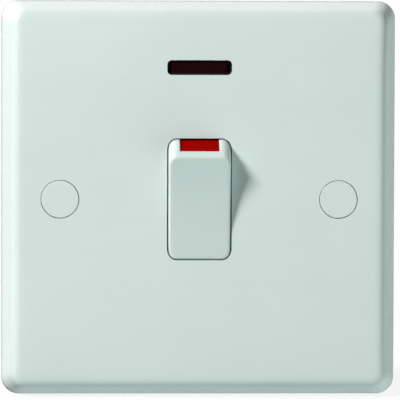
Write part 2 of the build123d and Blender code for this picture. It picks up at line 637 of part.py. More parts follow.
for pole, side in POLES.items():
    pole_x = side * POLE_X
    block_inner_z = BLOCK_Z - BLOCK_H / 2

    # Load terminal: block with a tongue for the fixed contact
    with BuildPart() as load_terminal:
        add(terminal_block(side, 1))
        with BuildSketch(at_y(FLOOR_Y)):
            with Locations((pole_x, block_inner_z)):
                Rectangle(
                    TONGUE_W,
                    block_inner_z - CONTACT_Z + TONGUE_PAST_TIP,
                    align=(Align.CENTER, Align.MAX),
                )
        extrude(amount=TONGUE_T)
        with BuildSketch(at_y(FLOOR_Y)):
            with Locations((pole_x, CONTACT_Z)):
                Circle(RIVET_R)
        extrude(amount=TONGUE_T, mode=Mode.SUBTRACT)
    save(load_terminal, f"load_terminal_{pole}")

    # Fixed contact tip riveted through the load terminal's tongue
    with BuildPart() as fixed_tip:
        with BuildSketch(at_y(TONGUE_Y)):
            with Locations((pole_x, CONTACT_Z)):
                Circle(FIXED_TIP_R)
        extrude(amount=FIXED_TIP_H)
        chamfer(fixed_tip.faces().sort_by(Axis.Y)[0].edges(), TIP_EDGE)
        with BuildSketch(at_y(FLOOR_Y)):
            with Locations((pole_x, CONTACT_Z)):
                Circle(RIVET_R)
        extrude(amount=TONGUE_T)
    save(fixed_tip, f"fixed_tip_{pole}")

    # Supply terminal: block with a tongue, the arm's stop and two notched prongs
    prong_x = ARM_W / 2 + PRONG_GAP + PRONG_T / 2
    with BuildPart() as supply_terminal:
        add(terminal_block(side, -1))
        with BuildSketch(at_y(FLOOR_Y)):
            with Locations((pole_x, -block_inner_z)):
                Rectangle(TONGUE_W, block_inner_z, align=(Align.CENTER, Align.MIN))
            with Locations((pole_x, 0)):
                Rectangle(2 * prong_x + PRONG_T, 2 * PRONG_HALF_H)
        extrude(amount=TONGUE_T)
        with BuildSketch(at_y(TONGUE_Y)):
            with Locations((pole_x, -STOP_Z)):
                Rectangle(STOP_W, STOP_T)
        extrude(amount=TONGUE_Y - STOP_Y)
        with BuildSketch(*[Plane.YZ.offset(pole_x + s * prong_x) for s in POLES.values()]):
            with Locations((ARM_PIVOT_Y - PRONG_LIP, 0)):
                Rectangle(
                    FLOOR_Y - ARM_PIVOT_Y + PRONG_LIP,
                    2 * PRONG_HALF_H,
                    align=(Align.MIN, Align.CENTER),
                )
            with Locations((ARM_PIVOT_Y, 0)):
                Circle(ARM_PIN_R + RUN_GAP, mode=Mode.SUBTRACT)
                Rectangle(
                    2 * PRONG_LIP,
                    2 * (ARM_PIN_R + RUN_GAP),
                    align=(Align.MAX, Align.CENTER),
                    mode=Mode.SUBTRACT,
                )
        extrude(amount=PRONG_T / 2, both=True)
    save(supply_terminal, f"supply_terminal_{pole}")

    # Contact arm: shallow V strip with a pivot pin on each side
    with BuildPart() as contact_arm:
        with BuildSketch(arm_side(pole_x)):
            Circle(ARM_T / 2)
            Rectangle(ARM_T, ARM_UPPER, ARM_BEND, (Align.CENTER, Align.MIN))
            Rectangle(ARM_T, ARM_LOWER, -ARM_BEND, (Align.CENTER, Align.MAX))
        extrude(amount=ARM_W / 2, both=True)
        with BuildSketch(arm_side(pole_x + ARM_W / 2), arm_side(pole_x - ARM_W / 2 - ARM_PIN_L)):
            Circle(ARM_PIN_R)
        extrude(amount=ARM_PIN_L)
        with BuildSketch(tip_plane(pole_x)):
            Circle(RIVET_R)
        extrude(amount=-ARM_T, mode=Mode.SUBTRACT)
    save(contact_arm, f"contact_arm_{pole}")

    # Moving contact tip riveted through the arm's upper end
    with BuildPart() as moving_tip:
        with BuildSketch(tip_plane(pole_x)):
            Circle(TIP_R)
        extrude(amount=TIP_H)
        chamfer(moving_tip.faces().sort_by(Axis.Y)[-1].edges(), TIP_EDGE)
        with BuildSketch(tip_plane(pole_x)):
            Circle(RIVET_R)
        extrude(amount=-ARM_T)
    save(moving_tip, f"moving_tip_{pole}")

    # Plunger: pin with a spigot for the spring and a tapered round nose
    with BuildPart() as plunger:
        plunger_r = TUBE_BORE_R - RUN_GAP
        with BuildSketch(rocker_side(pole_x)):
            with BuildLine():
                outline = Polyline(
                    (PLUNGER_SHOULDER - SPIGOT_L, 0),
                    (PLUNGER_SHOULDER - SPIGOT_L, SPIGOT_R),
                    (PLUNGER_SHOULDER, SPIGOT_R),
                    (PLUNGER_SHOULDER, plunger_r),
                    (NOSE_REACH - NOSE_TAPER, plunger_r),
                    (NOSE_REACH, NOSE_R),
                )
                nose = RadiusArc(outline @ 1, (NOSE_REACH + NOSE_R, 0), NOSE_R)
                Line(nose @ 1, outline @ 0)
            make_face()
        revolve(axis=Axis((pole_x, PIVOT_Y, 0), ROCKER_REAR))
    save(plunger, f"plunger_{pole}")

    # Plunger spring between the blind end of the tube and the plunger's shoulder
    with BuildPart() as plunger_spring:
        spring_r = TUBE_BORE_R - RUN_GAP - SPRING_WIRE_R
        inset = SPRING_WIRE_R + SPRING_SEAT_GAP
        spring_l = TUBE_BLIND + PLUNGER_SHOULDER - 2 * inset
        seat = Vector(pole_x, PIVOT_Y, 0) + ROCKER_REAR * (inset - TUBE_BLIND)
        with BuildLine() as coil:
            Helix(spring_l / SPRING_TURNS, spring_l, spring_r, seat, ROCKER_REAR)
        with BuildSketch(Plane(origin=coil.line @ 0, z_dir=coil.line % 0)):
            Circle(SPRING_WIRE_R)
        sweep(is_frenet=True)
    save(plunger_spring, f"plunger_spring_{pole}")

    # Neon lead from the lamp's side, out through the cover and down to the load terminal
    with BuildPart() as neon_lead:
        with BuildLine() as route:
            FilletPolyline(
                (side * RESISTOR_RIGHT_X, LAMP_Y, WINDOW_Z),
                (side * LEAD_X, LAMP_Y, WINDOW_Z),
                (side * LEAD_X, LEAD_DROP_Y, WINDOW_Z),
                (side * BLOCK_X, LEAD_DROP_Y, BLOCK_Z),
                (side * BLOCK_X, BLOCK_FRONT_Y, BLOCK_Z),
                radius=LEAD_BEND_R,
            )
        with BuildSketch(Plane(origin=route.line @ 0, z_dir=route.line % 0)):
            Circle(LEAD_R)
        sweep()
    save(neon_lead, f"neon_lead_{pole}")

# Indicator lens with a flange behind the window
with BuildPart() as neon_lens:
    with BuildSketch(at_y(NEON_FLOOR_Y)):
        with Locations((0, WINDOW_Z)):
            RectangleRounded(WINDOW_W - 2 * LENS_GAP, WINDOW_H - 2 * LENS_GAP, WINDOW_R - LENS_GAP)
    extrude(amount=NEON_FLOOR_Y - LENS_FRONT_Y)
    fillet(neon_lens.faces().sort_by(Axis.Y)[0].edges(), LENS_EDGE_R)
    with BuildSketch(at_y(NEON_FLOOR_Y + LENS_FLANGE_T)):
        with Locations((0, WINDOW_Z)):
            RectangleRounded(WINDOW_W + 2 * LENS_FLANGE, WINDOW_H + 2 * LENS_FLANGE, WINDOW_R)
    extrude(amount=LENS_FLANGE_T)
save(neon_lens, "neon_lens")

# Neon lamp lying behind the lens
with BuildPart() as neon_lamp:
    with BuildSketch(Plane.YZ.offset(LAMP_LEFT_X)):
        with Locations((LAMP_Y, WINDOW_Z)):
            Circle(LAMP_R)
    extrude(amount=LAMP_L)
    fillet(neon_lamp.edges().filter_by(GeomType.CIRCLE), LAMP_R - LEAD_R)
save(neon_lamp, "neon_lamp")

# Series resistor in line with the lamp
with BuildPart() as neon_resistor:
    with BuildSketch(Plane.YZ.offset(RESISTOR_LEFT_X)):
        with Locations((LAMP_Y, WINDOW_Z)):
            Circle(RESISTOR_R)
    extrude(amount=RESISTOR_L)
    fillet(neon_resistor.edges().filter_by(GeomType.CIRCLE), RESISTOR_R - LEAD_R)
    with BuildSketch(Plane.YZ.offset(LAMP_RIGHT_X)):
        with Locations((LAMP_Y, WINDOW_Z)):
            Circle(RESISTOR_WIRE_R)
    extrude(amount=RESISTOR_LEFT_X - LAMP_RIGHT_X)
save(neon_resistor, "neon_resistor")

# Cover that closes the lamp's pocket
with BuildPart() as neon_cover:
    with BuildSketch(at_y(NEON_REAR_Y + NEON_COVER_T)):
        with Locations((0, WINDOW_Z)):
            Rectangle(NEON_POCKET_W + 2 * NEON_WALL, NEON_POCKET_H - 2 * LENS_GAP)
    extrude(amount=NEON_COVER_T)
    with BuildSketch(at_y(NEON_REAR_Y)):
        with Locations((0, WINDOW_Z)):
            Rectangle(NEON_POCKET_W - 2 * LENS_GAP, NEON_POCKET_H - 2 * LENS_GAP)
    extrude(amount=NEON_LIP)
    with BuildSketch(at_y(NEON_REAR_Y + NEON_COVER_T)):
        with Locations((-LEAD_X, WINDOW_Z), (LEAD_X, WINDOW_Z)):
            Circle(LEAD_R + LEAD_HOLE_GAP)
    extrude(amount=NEON_COVER_T + NEON_LIP, mode=Mode.SUBTRACT)
save(neon_cover, "neon_cover")
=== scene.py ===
"""Looks of a double pole wall switch: finishes, threaded screws, springs and a plain studio.

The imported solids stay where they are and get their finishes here. The screws, plunger springs and
the lamp are modelled again with the detail that the solids leave out, and the flag stands a little
higher in its notch. Sizes are in metres in the frame of the solids: +X to the right, +Z up, -Y
towards the person who uses the switch.
"""

import json
import logging
from dataclasses import dataclass, field
from enum import Enum
from functools import cache
from math import atan2, cos, pi, radians, sin
from typing import Iterable

import bpy
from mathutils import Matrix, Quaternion, Vector


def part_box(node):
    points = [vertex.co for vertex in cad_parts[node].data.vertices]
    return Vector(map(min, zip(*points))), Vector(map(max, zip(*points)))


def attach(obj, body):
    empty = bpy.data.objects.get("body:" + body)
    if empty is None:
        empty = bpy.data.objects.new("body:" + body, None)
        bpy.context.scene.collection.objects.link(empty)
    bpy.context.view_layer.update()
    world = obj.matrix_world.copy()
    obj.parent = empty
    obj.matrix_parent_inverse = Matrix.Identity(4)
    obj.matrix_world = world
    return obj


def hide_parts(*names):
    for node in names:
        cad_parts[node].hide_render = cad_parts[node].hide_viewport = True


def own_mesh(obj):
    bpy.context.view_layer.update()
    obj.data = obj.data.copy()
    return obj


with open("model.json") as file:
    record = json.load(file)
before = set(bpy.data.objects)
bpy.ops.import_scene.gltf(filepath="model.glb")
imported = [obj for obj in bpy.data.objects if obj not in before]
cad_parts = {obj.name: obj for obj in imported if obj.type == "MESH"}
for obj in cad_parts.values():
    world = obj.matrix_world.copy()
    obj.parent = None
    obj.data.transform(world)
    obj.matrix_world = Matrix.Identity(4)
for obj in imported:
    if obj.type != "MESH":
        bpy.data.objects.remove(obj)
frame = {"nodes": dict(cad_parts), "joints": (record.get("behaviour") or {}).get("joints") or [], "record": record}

LOG = logging.getLogger("wall_switch")
MM = 0.001
FULL_TURN = 2 * pi
MERGE_GAP = 0.002 * MM
PLASTIC_INDEX = 1.5
EDGE_SAMPLES = 8
WHITE = (1.0, 1.0, 1.0, 1.0)

Colour = tuple[float, float, float]
Point2 = tuple[float, float]
Point3 = tuple[float, float, float]
Span = tuple[float, float]

RISE: Span = (0.0, 1.0)
FALL: Span = (1.0, 0.0)
UNTURNED: Point3 = (0.0, 0.0, 0.0)


class Body(Enum):
    """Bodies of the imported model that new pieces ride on."""

    PLATE = "plate_body"
    ROCKER = "rocker_body"


class Facing(Enum):
    """Way that a screw's head looks along the depth axis."""

    FRONT = -1
    REAR = 1


class Bench:
    """Modelling steps that the sub-assemblies share."""

    @staticmethod
    def clear() -> None:
        """Leave edit mode and deselect everything."""
        if bpy.context.object and bpy.context.object.mode != "OBJECT":
            bpy.ops.object.mode_set(mode="OBJECT")
        bpy.ops.object.select_all(action="DESELECT")

    @staticmethod
    def pick(piece: bpy.types.Object) -> None:
        """Make one piece the only selected and active one.

        Args:
            piece: Piece that the next operators act on.
        """
        Bench.clear()
        piece.select_set(True)
        bpy.context.view_layer.objects.active = piece

    @staticmethod
    def outline(name: str, points: Iterable[Point2], closed: bool = False) -> bpy.types.Object:
        """Draw a line of points in the XY plane, each one extruded from the last.

        Args:
            name: Name of the new object.
            points: Places along the line, in metres.
            closed: Whether the last point joins the first.

        Returns:
            The object, with no faces.
        """
        places = [Vector((x, y, 0)) for x, y in points]
        Bench.clear()
        bpy.ops.mesh.primitive_plane_add(size=MM)
        piece = bpy.context.object
        piece.name = piece.data.name = name
        bpy.ops.object.mode_set(mode="EDIT")
        bpy.ops.mesh.select_all(action="SELECT")
        bpy.ops.mesh.merge(type="CENTER")
        bpy.ops.transform.translate(value=places[0])
        for here, there in zip(places, places[1:]):
            move = {"value": there - here}
            bpy.ops.mesh.extrude_region_move(TRANSFORM_OT_translate=move)
        if closed:
            bpy.ops.mesh.select_all(action="SELECT")
            bpy.ops.mesh.edge_face_add()
            bpy.ops.mesh.delete(type="ONLY_FACE")
        bpy.ops.object.mode_set(mode="OBJECT")
        return piece

    @staticmethod
    def apply(piece: bpy.types.Object, kind: str, **settings: object) -> None:
        """Add a modifier, set it and apply it.

        Args:
            piece: Piece that is changed.
            kind: Blender's name for the modifier.
            **settings: Values set on the modifier.
        """
        Bench.pick(piece)
        modifier = piece.modifiers.new(kind.title(), kind)
        for key, value in settings.items():
            setattr(modifier, key, value)
        bpy.ops.object.modifier_apply(modifier=modifier.name)

    @staticmethod
    def tidy(piece: bpy.types.Object) -> None:
        """Merge doubles and turn the faces outwards.

        Args:
            piece: Piece that is changed.
        """
        Bench.pick(piece)
        bpy.ops.object.mode_set(mode="EDIT")
        bpy.ops.mesh.select_all(action="SELECT")
        bpy.ops.mesh.remove_doubles(threshold=MERGE_GAP)
        bpy.ops.mesh.normals_make_consistent(inside=False)
        bpy.ops.object.mode_set(mode="OBJECT")

    @staticmethod
    def turn_solid(name: str, points: Iterable[Point2], steps: int) -> bpy.types.Object:
        """Turn an outline of radius and height about the Y axis.

        Args:
            name: Name of the new object.
            points: Outline from the axis round to the axis, as radius and height.
            steps: Facets round the axis.

        Returns:
            The closed turned piece.
        """
        piece = Bench.outline(name, points)
        bpy.ops.object.mode_set(mode="EDIT")
        bpy.ops.mesh.select_all(action="SELECT")
        bpy.ops.mesh.spin(steps=steps, angle=FULL_TURN, center=(0, 0, 0), axis=(0, 1, 0))
        bpy.ops.object.mode_set(mode="OBJECT")
        Bench.tidy(piece)
        return piece

    @staticmethod
    def trim(piece: bpy.types.Object, height: float, keep_below: bool) -> None:
        """Cut a piece square to the Y axis and close the cut.

        Args:
            piece: Piece that is cut.
            height: Place of the cut on the Y axis.
            keep_below: Whether the part below the cut stays.
        """
        Bench.pick(piece)
        bpy.ops.object.mode_set(mode="EDIT")
        bpy.ops.mesh.select_all(action="SELECT")
        bpy.ops.mesh.bisect(
            plane_co=(0, height, 0), plane_no=(0, 1, 0), use_fill=True,
            clear_outer=keep_below, clear_inner=not keep_below,
        )
        bpy.ops.object.mode_set(mode="OBJECT")

    @staticmethod
    def cut(piece: bpy.types.Object, cutter: bpy.types.Object) -> None:
        """Take one piece out of another and remove the cutter."""
        Bench.apply(piece, "BOOLEAN", object=cutter, operation="DIFFERENCE", solver="EXACT")
        bpy.data.objects.remove(cutter)

    @staticmethod
    def join(first: bpy.types.Object, *others: bpy.types.Object) -> bpy.types.Object:
        """Join pieces into the first one.

        Args:
            first: Piece that takes in the others.
            *others: Pieces that go into it.

        Returns:
            The first piece.
        """
        Bench.pick(first)
        for other in others:
            other.select_set(True)
        bpy.ops.object.join()
        return first

    @staticmethod
    def place(piece: bpy.types.Object, at: Vector, turn: Point3 = UNTURNED) -> None:
        """Turn and move a piece, with the result kept in its mesh.

        Args:
            piece: Piece at the origin.
            at: Where its origin goes.
            turn: Turn about X, Y and Z in radians.
        """
        Bench.pick(piece)
        piece.rotation_euler = turn
        piece.location = at
        bpy.ops.object.transform_apply(location=True, rotation=True, scale=True)

    @staticmethod
    def copy(piece: bpy.types.Object, name: str) -> bpy.types.Object:
        """Copy a piece with a mesh of its own.

        Args:
            piece: Piece that is copied.
            name: Name of the copy and its mesh.

        Returns:
            The copy.
        """
        twin = piece.copy()
        twin.data = piece.data.copy()
        twin.name = twin.data.name = name
        bpy.context.scene.collection.objects.link(twin)
        return twin

    @staticmethod
    def smooth(piece: bpy.types.Object, angle: float = 32.0) -> None:
        """Shade a piece smooth across edges under an angle in degrees."""
        Bench.pick(piece)
        bpy.ops.object.shade_smooth_by_angle(angle=radians(angle))


class Nodes:
    """Short way to build a node tree."""

    # Sockets of a Mix node that mixes colours.
    MIX_INPUTS = (0, 6, 7)
    MIX_RESULT = 2

    def __init__(self, tree: bpy.types.NodeTree) -> None:
        """Keep the tree that the nodes go into."""
        self.tree = tree

    @staticmethod
    def material(name: str) -> tuple[bpy.types.Material, "Nodes", bpy.types.Node]:
        """Start a material.

        Args:
            name: Name of the material.

        Returns:
            The material, the builder of its tree and its main shader.
        """
        made = bpy.data.materials.new(name)
        made.use_nodes = True
        return made, Nodes(made.node_tree), made.node_tree.nodes["Principled BSDF"]

    def feed(self, socket: bpy.types.NodeSocket, value: object) -> None:
        """Link an input to another node's output, or set its value.

        Args:
            socket: Input that is fed.
            value: Output socket or plain value.
        """
        if isinstance(value, bpy.types.NodeSocket):
            self.tree.links.new(value, socket)
        else:
            socket.default_value = value

    def add(
        self, kind: str, inputs: dict[str | int, object] | None = None, **settings: object,
    ) -> bpy.types.Node:
        """Add a node.

        Args:
            kind: Node type without its ShaderNode prefix.
            inputs: Values or output sockets by input name or number.
            **settings: Properties of the node.

        Returns:
            The new node.
        """
        made = self.tree.nodes.new(kind if kind.startswith("Node") else f"ShaderNode{kind}")
        for key, value in settings.items():
            setattr(made, key, value)
        for key, value in (inputs or {}).items():
            self.feed(made.inputs[key], value)
        return made

    def maths(self, operation: str, first: object, second: object = 0.0) -> bpy.types.NodeSocket:
        """Result of a sum on one or two values."""
        return self.add("Math", {0: first, 1: second}, operation=operation).outputs[0]

    def span(self, value: bpy.types.NodeSocket, source: Span, target: Span) -> bpy.types.NodeSocket:
        """Move a value from one range to another, and hold it inside.

        Args:
            value: Value that is moved.
            source: Ends of the range that it comes from.
            target: Ends of the range that it goes to.

        Returns:
            The moved value.
        """
        inputs = {"Value": value, "From Min": source[0], "From Max": source[1]}
        inputs |= {"To Min": target[0], "To Max": target[1]}
        return self.add("MapRange", inputs).outputs["Result"]

    def noise(
        self, vector: bpy.types.NodeSocket, scale: object, detail: float = 2.0,
    ) -> bpy.types.NodeSocket:
        """Noise value between nought and one."""
        inputs = {"Vector": vector, "Scale": scale, "Detail": detail}
        return self.add("TexNoise", inputs).outputs["Fac"]

    def scaled(self, vector: bpy.types.NodeSocket, scale: Point3) -> bpy.types.NodeSocket:
        """Coordinates stretched along the three axes."""
        return self.add("Mapping", {"Vector": vector, "Scale": scale}).outputs["Vector"]

    def blend(
        self, share: object, first: object, second: object, mode: str = "MIX",
    ) -> bpy.types.NodeSocket:
        """Mix two colours.

        Args:
            share: Share of the second colour.
            first: Colour, or the socket that gives it.
            second: Colour, or the socket that gives it.
            mode: Blender's name for the way of mixing.

        Returns:
            The mixed colour.
        """
        made = self.add("Mix", data_type="RGBA", blend_type=mode)
        for number, value in zip(self.MIX_INPUTS, (share, first, second)):
            self.feed(made.inputs[number], value)
        return made.outputs[self.MIX_RESULT]

    def surface(
        self, shader: bpy.types.Node, colour: bpy.types.NodeSocket, rough: bpy.types.NodeSocket,
        height: bpy.types.NodeSocket, depth_mm: float,
    ) -> bpy.types.Node:
        """Link a colour, a roughness and a fine relief to the main shader.

        Args:
            shader: Main shader of the material.
            colour: Colour of the surface.
            rough: Roughness of the surface.
            height: Relief between nought and one.
            depth_mm: Depth of the relief in millimetres.

        Returns:
            The bump node that makes the relief.
        """
        bump = self.add("Bump", {"Height": height, "Distance": depth_mm * MM})
        self.feed(shader.inputs["Base Color"], colour)
        self.feed(shader.inputs["Roughness"], rough)
        self.feed(shader.inputs["Normal"], bump.outputs["Normal"])
        return bump


class Effects:
    """Surface effects that more than one finish uses, each built once as a node group."""

    # Noise keeps near its middle, so this much of it is stretched over the whole range.
    NOISE_BAND: Span = (0.3, 0.7)
    BOTH_WAYS: Span = (-1.0, 1.0)
    CLOUD_SCALE: float = 38.0
    CLOUD_SHARE: float = 0.7
    FLOW_STRETCH: Point3 = (40.0, 40.0, 210.0)
    FLOW_SHARE: float = 0.3
    PATCH_SCALE: float = 140.0
    SCUFF_WAYS: tuple[tuple[float, Point3], ...] = ((0.5, (1.0, 9.0, 22.0)), (-0.8, (20.0, 9.0, 1.0)))
    SCUFF_BAND: Span = (0.64, 0.70)
    WIPED_SCALE: float = 60.0
    WIPED_BAND: Span = (0.45, 0.7)
    BLOOM_SCALE: float = 420.0
    BLOOM_BAND: Span = (0.38, 0.72)
    BLOOM_ROUGH: float = 0.22
    STREAK_SHARE: Span = (0.0, 0.35)
    STREAK_ROUGH: float = 0.25

    @staticmethod
    def start(
        name: str, inputs: dict[str, str], outputs: dict[str, str],
    ) -> tuple[Nodes, dict[str, bpy.types.NodeSocket], bpy.types.Node]:
        """Begin a group with named sockets.

        Args:
            name: Name of the group.
            inputs: Socket kinds by input name.
            outputs: Socket kinds by output name.

        Returns:
            The tree builder, the inputs by name and the group's output node.
        """
        tree = bpy.data.node_groups.new(name, "ShaderNodeTree")
        for label, kind in inputs.items():
            tree.interface.new_socket(label, in_out="INPUT", socket_type=f"NodeSocket{kind}")
        for label, kind in outputs.items():
            tree.interface.new_socket(label, in_out="OUTPUT", socket_type=f"NodeSocket{kind}")
        nodes = Nodes(tree)
        source = nodes.add("NodeGroupInput")
        sink = nodes.add("NodeGroupOutput")
        return nodes, {label: source.outputs[label] for label in inputs}, sink

    @staticmethod
    @cache
    def moulded_skin() -> bpy.types.NodeTree:
        """Slow drift of shade, faint flow lines and a fine peel, as on a pressed moulding.

        Returns:
            The group.
        """
        inputs = {"Colour": "Color", "Drift": "Float", "Peel Scale": "Float"}
        inputs |= {"Gloss": "Float", "Gloss Range": "Float"}
        outputs = {"Colour": "Color", "Roughness": "Float", "Height": "Float"}
        nodes, given, sink = Effects.start("moulded_skin", inputs, outputs)
        where = nodes.add("TexCoord").outputs["Object"]
        cloud = nodes.noise(where, Effects.CLOUD_SCALE, detail=3.0)
        flow = nodes.noise(nodes.scaled(where, Effects.FLOW_STRETCH), 1.0, detail=4.0)
        cloud = nodes.maths("MULTIPLY", cloud, Effects.CLOUD_SHARE)
        flow = nodes.maths("MULTIPLY", flow, Effects.FLOW_SHARE)
        drift = nodes.span(nodes.maths("ADD", cloud, flow), Effects.NOISE_BAND, Effects.BOTH_WAYS)
        factor = nodes.maths("ADD", nodes.maths("MULTIPLY", drift, given["Drift"]), 1.0)
        grey = nodes.add("CombineXYZ", {0: factor, 1: factor, 2: factor}).outputs[0]
        nodes.feed(sink.inputs["Colour"], nodes.blend(1.0, given["Colour"], grey, "MULTIPLY"))
        patch = nodes.noise(where, Effects.PATCH_SCALE, detail=4.0)
        patch = nodes.span(patch, Effects.NOISE_BAND, Effects.BOTH_WAYS)
        change = nodes.maths("MULTIPLY", patch, given["Gloss Range"])
        nodes.feed(sink.inputs["Roughness"], nodes.maths("ADD", given["Gloss"], change))
        nodes.feed(sink.inputs["Height"], nodes.noise(where, given["Peel Scale"]))
        return nodes.tree

    @staticmethod
    @cache
    def hair_scuffs() -> bpy.types.NodeTree:
        """Sparse fine scuffs in two directions, as from wiping and handling.

        Returns:
            The group.
        """
        inputs, outputs = {"Scale": "Float", "Amount": "Float"}, {"Mask": "Float"}
        nodes, given, sink = Effects.start("hair_scuffs", inputs, outputs)
        where = nodes.add("TexCoord").outputs["Object"]
        masks = []
        for turn, stretch in Effects.SCUFF_WAYS:
            turned = nodes.add("Mapping", {"Vector": where, "Rotation": (0.0, turn, 0.0), "Scale": stretch})
            lines = nodes.noise(turned.outputs[0], given["Scale"], detail=3.0)
            masks.append(nodes.span(lines, Effects.SCUFF_BAND, RISE))
        patches = nodes.span(nodes.noise(where, Effects.WIPED_SCALE), Effects.WIPED_BAND, RISE)
        both = nodes.maths("MULTIPLY", nodes.maths("MAXIMUM", *masks), patches)
        nodes.feed(sink.inputs["Mask"], nodes.maths("MULTIPLY", both, given["Amount"]))
        return nodes.tree

    @staticmethod
    @cache
    def worked_metal() -> bpy.types.NodeTree:
        """Drawn lines along one axis, with a slow change of shade and a dull bloom in patches.

        Returns:
            The group.
        """
        inputs = {"Bright": "Color", "Dull": "Color", "Line Stretch": "Vector"}
        inputs |= {"Bloom": "Float", "Gloss": "Float"}
        outputs = {"Colour": "Color", "Roughness": "Float", "Height": "Float"}
        nodes, given, sink = Effects.start("worked_metal", inputs, outputs)
        where = nodes.add("TexCoord").outputs["Object"]
        stretched = nodes.add("VectorMath", {0: where, 1: given["Line Stretch"]}, operation="MULTIPLY")
        lines = nodes.noise(stretched.outputs[0], 1.0, detail=4.0)
        bloom = nodes.span(nodes.noise(where, Effects.BLOOM_SCALE, detail=5.0), Effects.BLOOM_BAND, RISE)
        share = nodes.maths("MULTIPLY", bloom, given["Bloom"])
        streak = nodes.span(lines, Effects.NOISE_BAND, Effects.STREAK_SHARE)
        colour = nodes.blend(nodes.maths("MAXIMUM", share, streak), given["Bright"], given["Dull"])
        nodes.feed(sink.inputs["Colour"], colour)
        rough = nodes.maths("ADD", given["Gloss"], nodes.maths("MULTIPLY", share, Effects.BLOOM_ROUGH))
        rough = nodes.maths("ADD", rough, nodes.maths("MULTIPLY", streak, Effects.STREAK_ROUGH))
        nodes.feed(sink.inputs["Roughness"], rough)
        nodes.feed(sink.inputs["Height"], lines)
        return nodes.tree

    @staticmethod
    def skin(nodes: Nodes, colour: object, drift: float, peel_mm: float, gloss: Span) -> bpy.types.Node:
        """Place the moulded skin in a material, with the material's own values.

        Args:
            nodes: Builder of the material's tree.
            colour: Colour with its alpha, or the socket that gives it.
            drift: Share by which the shade drifts.
            peel_mm: Size of the peel in millimetres.
            gloss: Roughness, and how far it changes over the surface.

        Returns:
            The node of the group.
        """
        inputs = {"Colour": colour, "Drift": drift, "Peel Scale": 1.0 / (peel_mm * MM)}
        inputs |= {"Gloss": gloss[0], "Gloss Range": gloss[1]}
        return nodes.add("Group", inputs, node_tree=Effects.moulded_skin())


@dataclass(frozen=True)
class MouldedFinish:
    """Plastic or thermoset moulding."""

    slot: str
    colour: Colour
    gloss: float
    gloss_range: float = 0.05
    drift: float = 0.02
    peel_mm: float = 0.45
    peel_depth: float = 0.003
    scuffs: float = 0.3
    scuff_scale: float = 900.0
    scuff_rough: float = 0.25
    scuff_depth: float = 0.5
    shine: float = 0.5
    glow: float = 0.0
    glow_mm: float = 0.4
    glow_reach: Colour = (1.0, 0.9, 0.8)
    edge_mm: float = 0.0

    def make(self) -> bpy.types.Material:
        """Build the material.

        Returns:
            A material named for the slot.
        """
        made, nodes, shader = Nodes.material(f"{self.slot}_finish")
        gloss = (self.gloss, self.gloss_range)
        skin = Effects.skin(nodes, (*self.colour, 1.0), self.drift, self.peel_mm, gloss)
        inputs = {"Scale": self.scuff_scale, "Amount": self.scuffs}
        hairs = nodes.add("Group", inputs, node_tree=Effects.hair_scuffs()).outputs["Mask"]
        dull = nodes.maths("MULTIPLY", hairs, self.scuff_rough)
        rough = nodes.maths("ADD", skin.outputs["Roughness"], dull)
        sunk = nodes.maths("MULTIPLY", hairs, self.scuff_depth)
        height = nodes.maths("SUBTRACT", skin.outputs["Height"], sunk)
        bump = nodes.surface(shader, skin.outputs["Colour"], rough, height, self.peel_depth)
        if self.edge_mm:
            edge = nodes.add("Bevel", {"Radius": self.edge_mm * MM}, samples=EDGE_SAMPLES)
            nodes.feed(bump.inputs["Normal"], edge.outputs["Normal"])
        shader.inputs["IOR"].default_value = PLASTIC_INDEX
        shader.inputs["Specular IOR Level"].default_value = self.shine
        if self.glow:
            shader.inputs["Subsurface Weight"].default_value = self.glow
            shader.inputs["Subsurface Radius"].default_value = self.glow_reach
            shader.inputs["Subsurface Scale"].default_value = self.glow_mm * MM
        return made


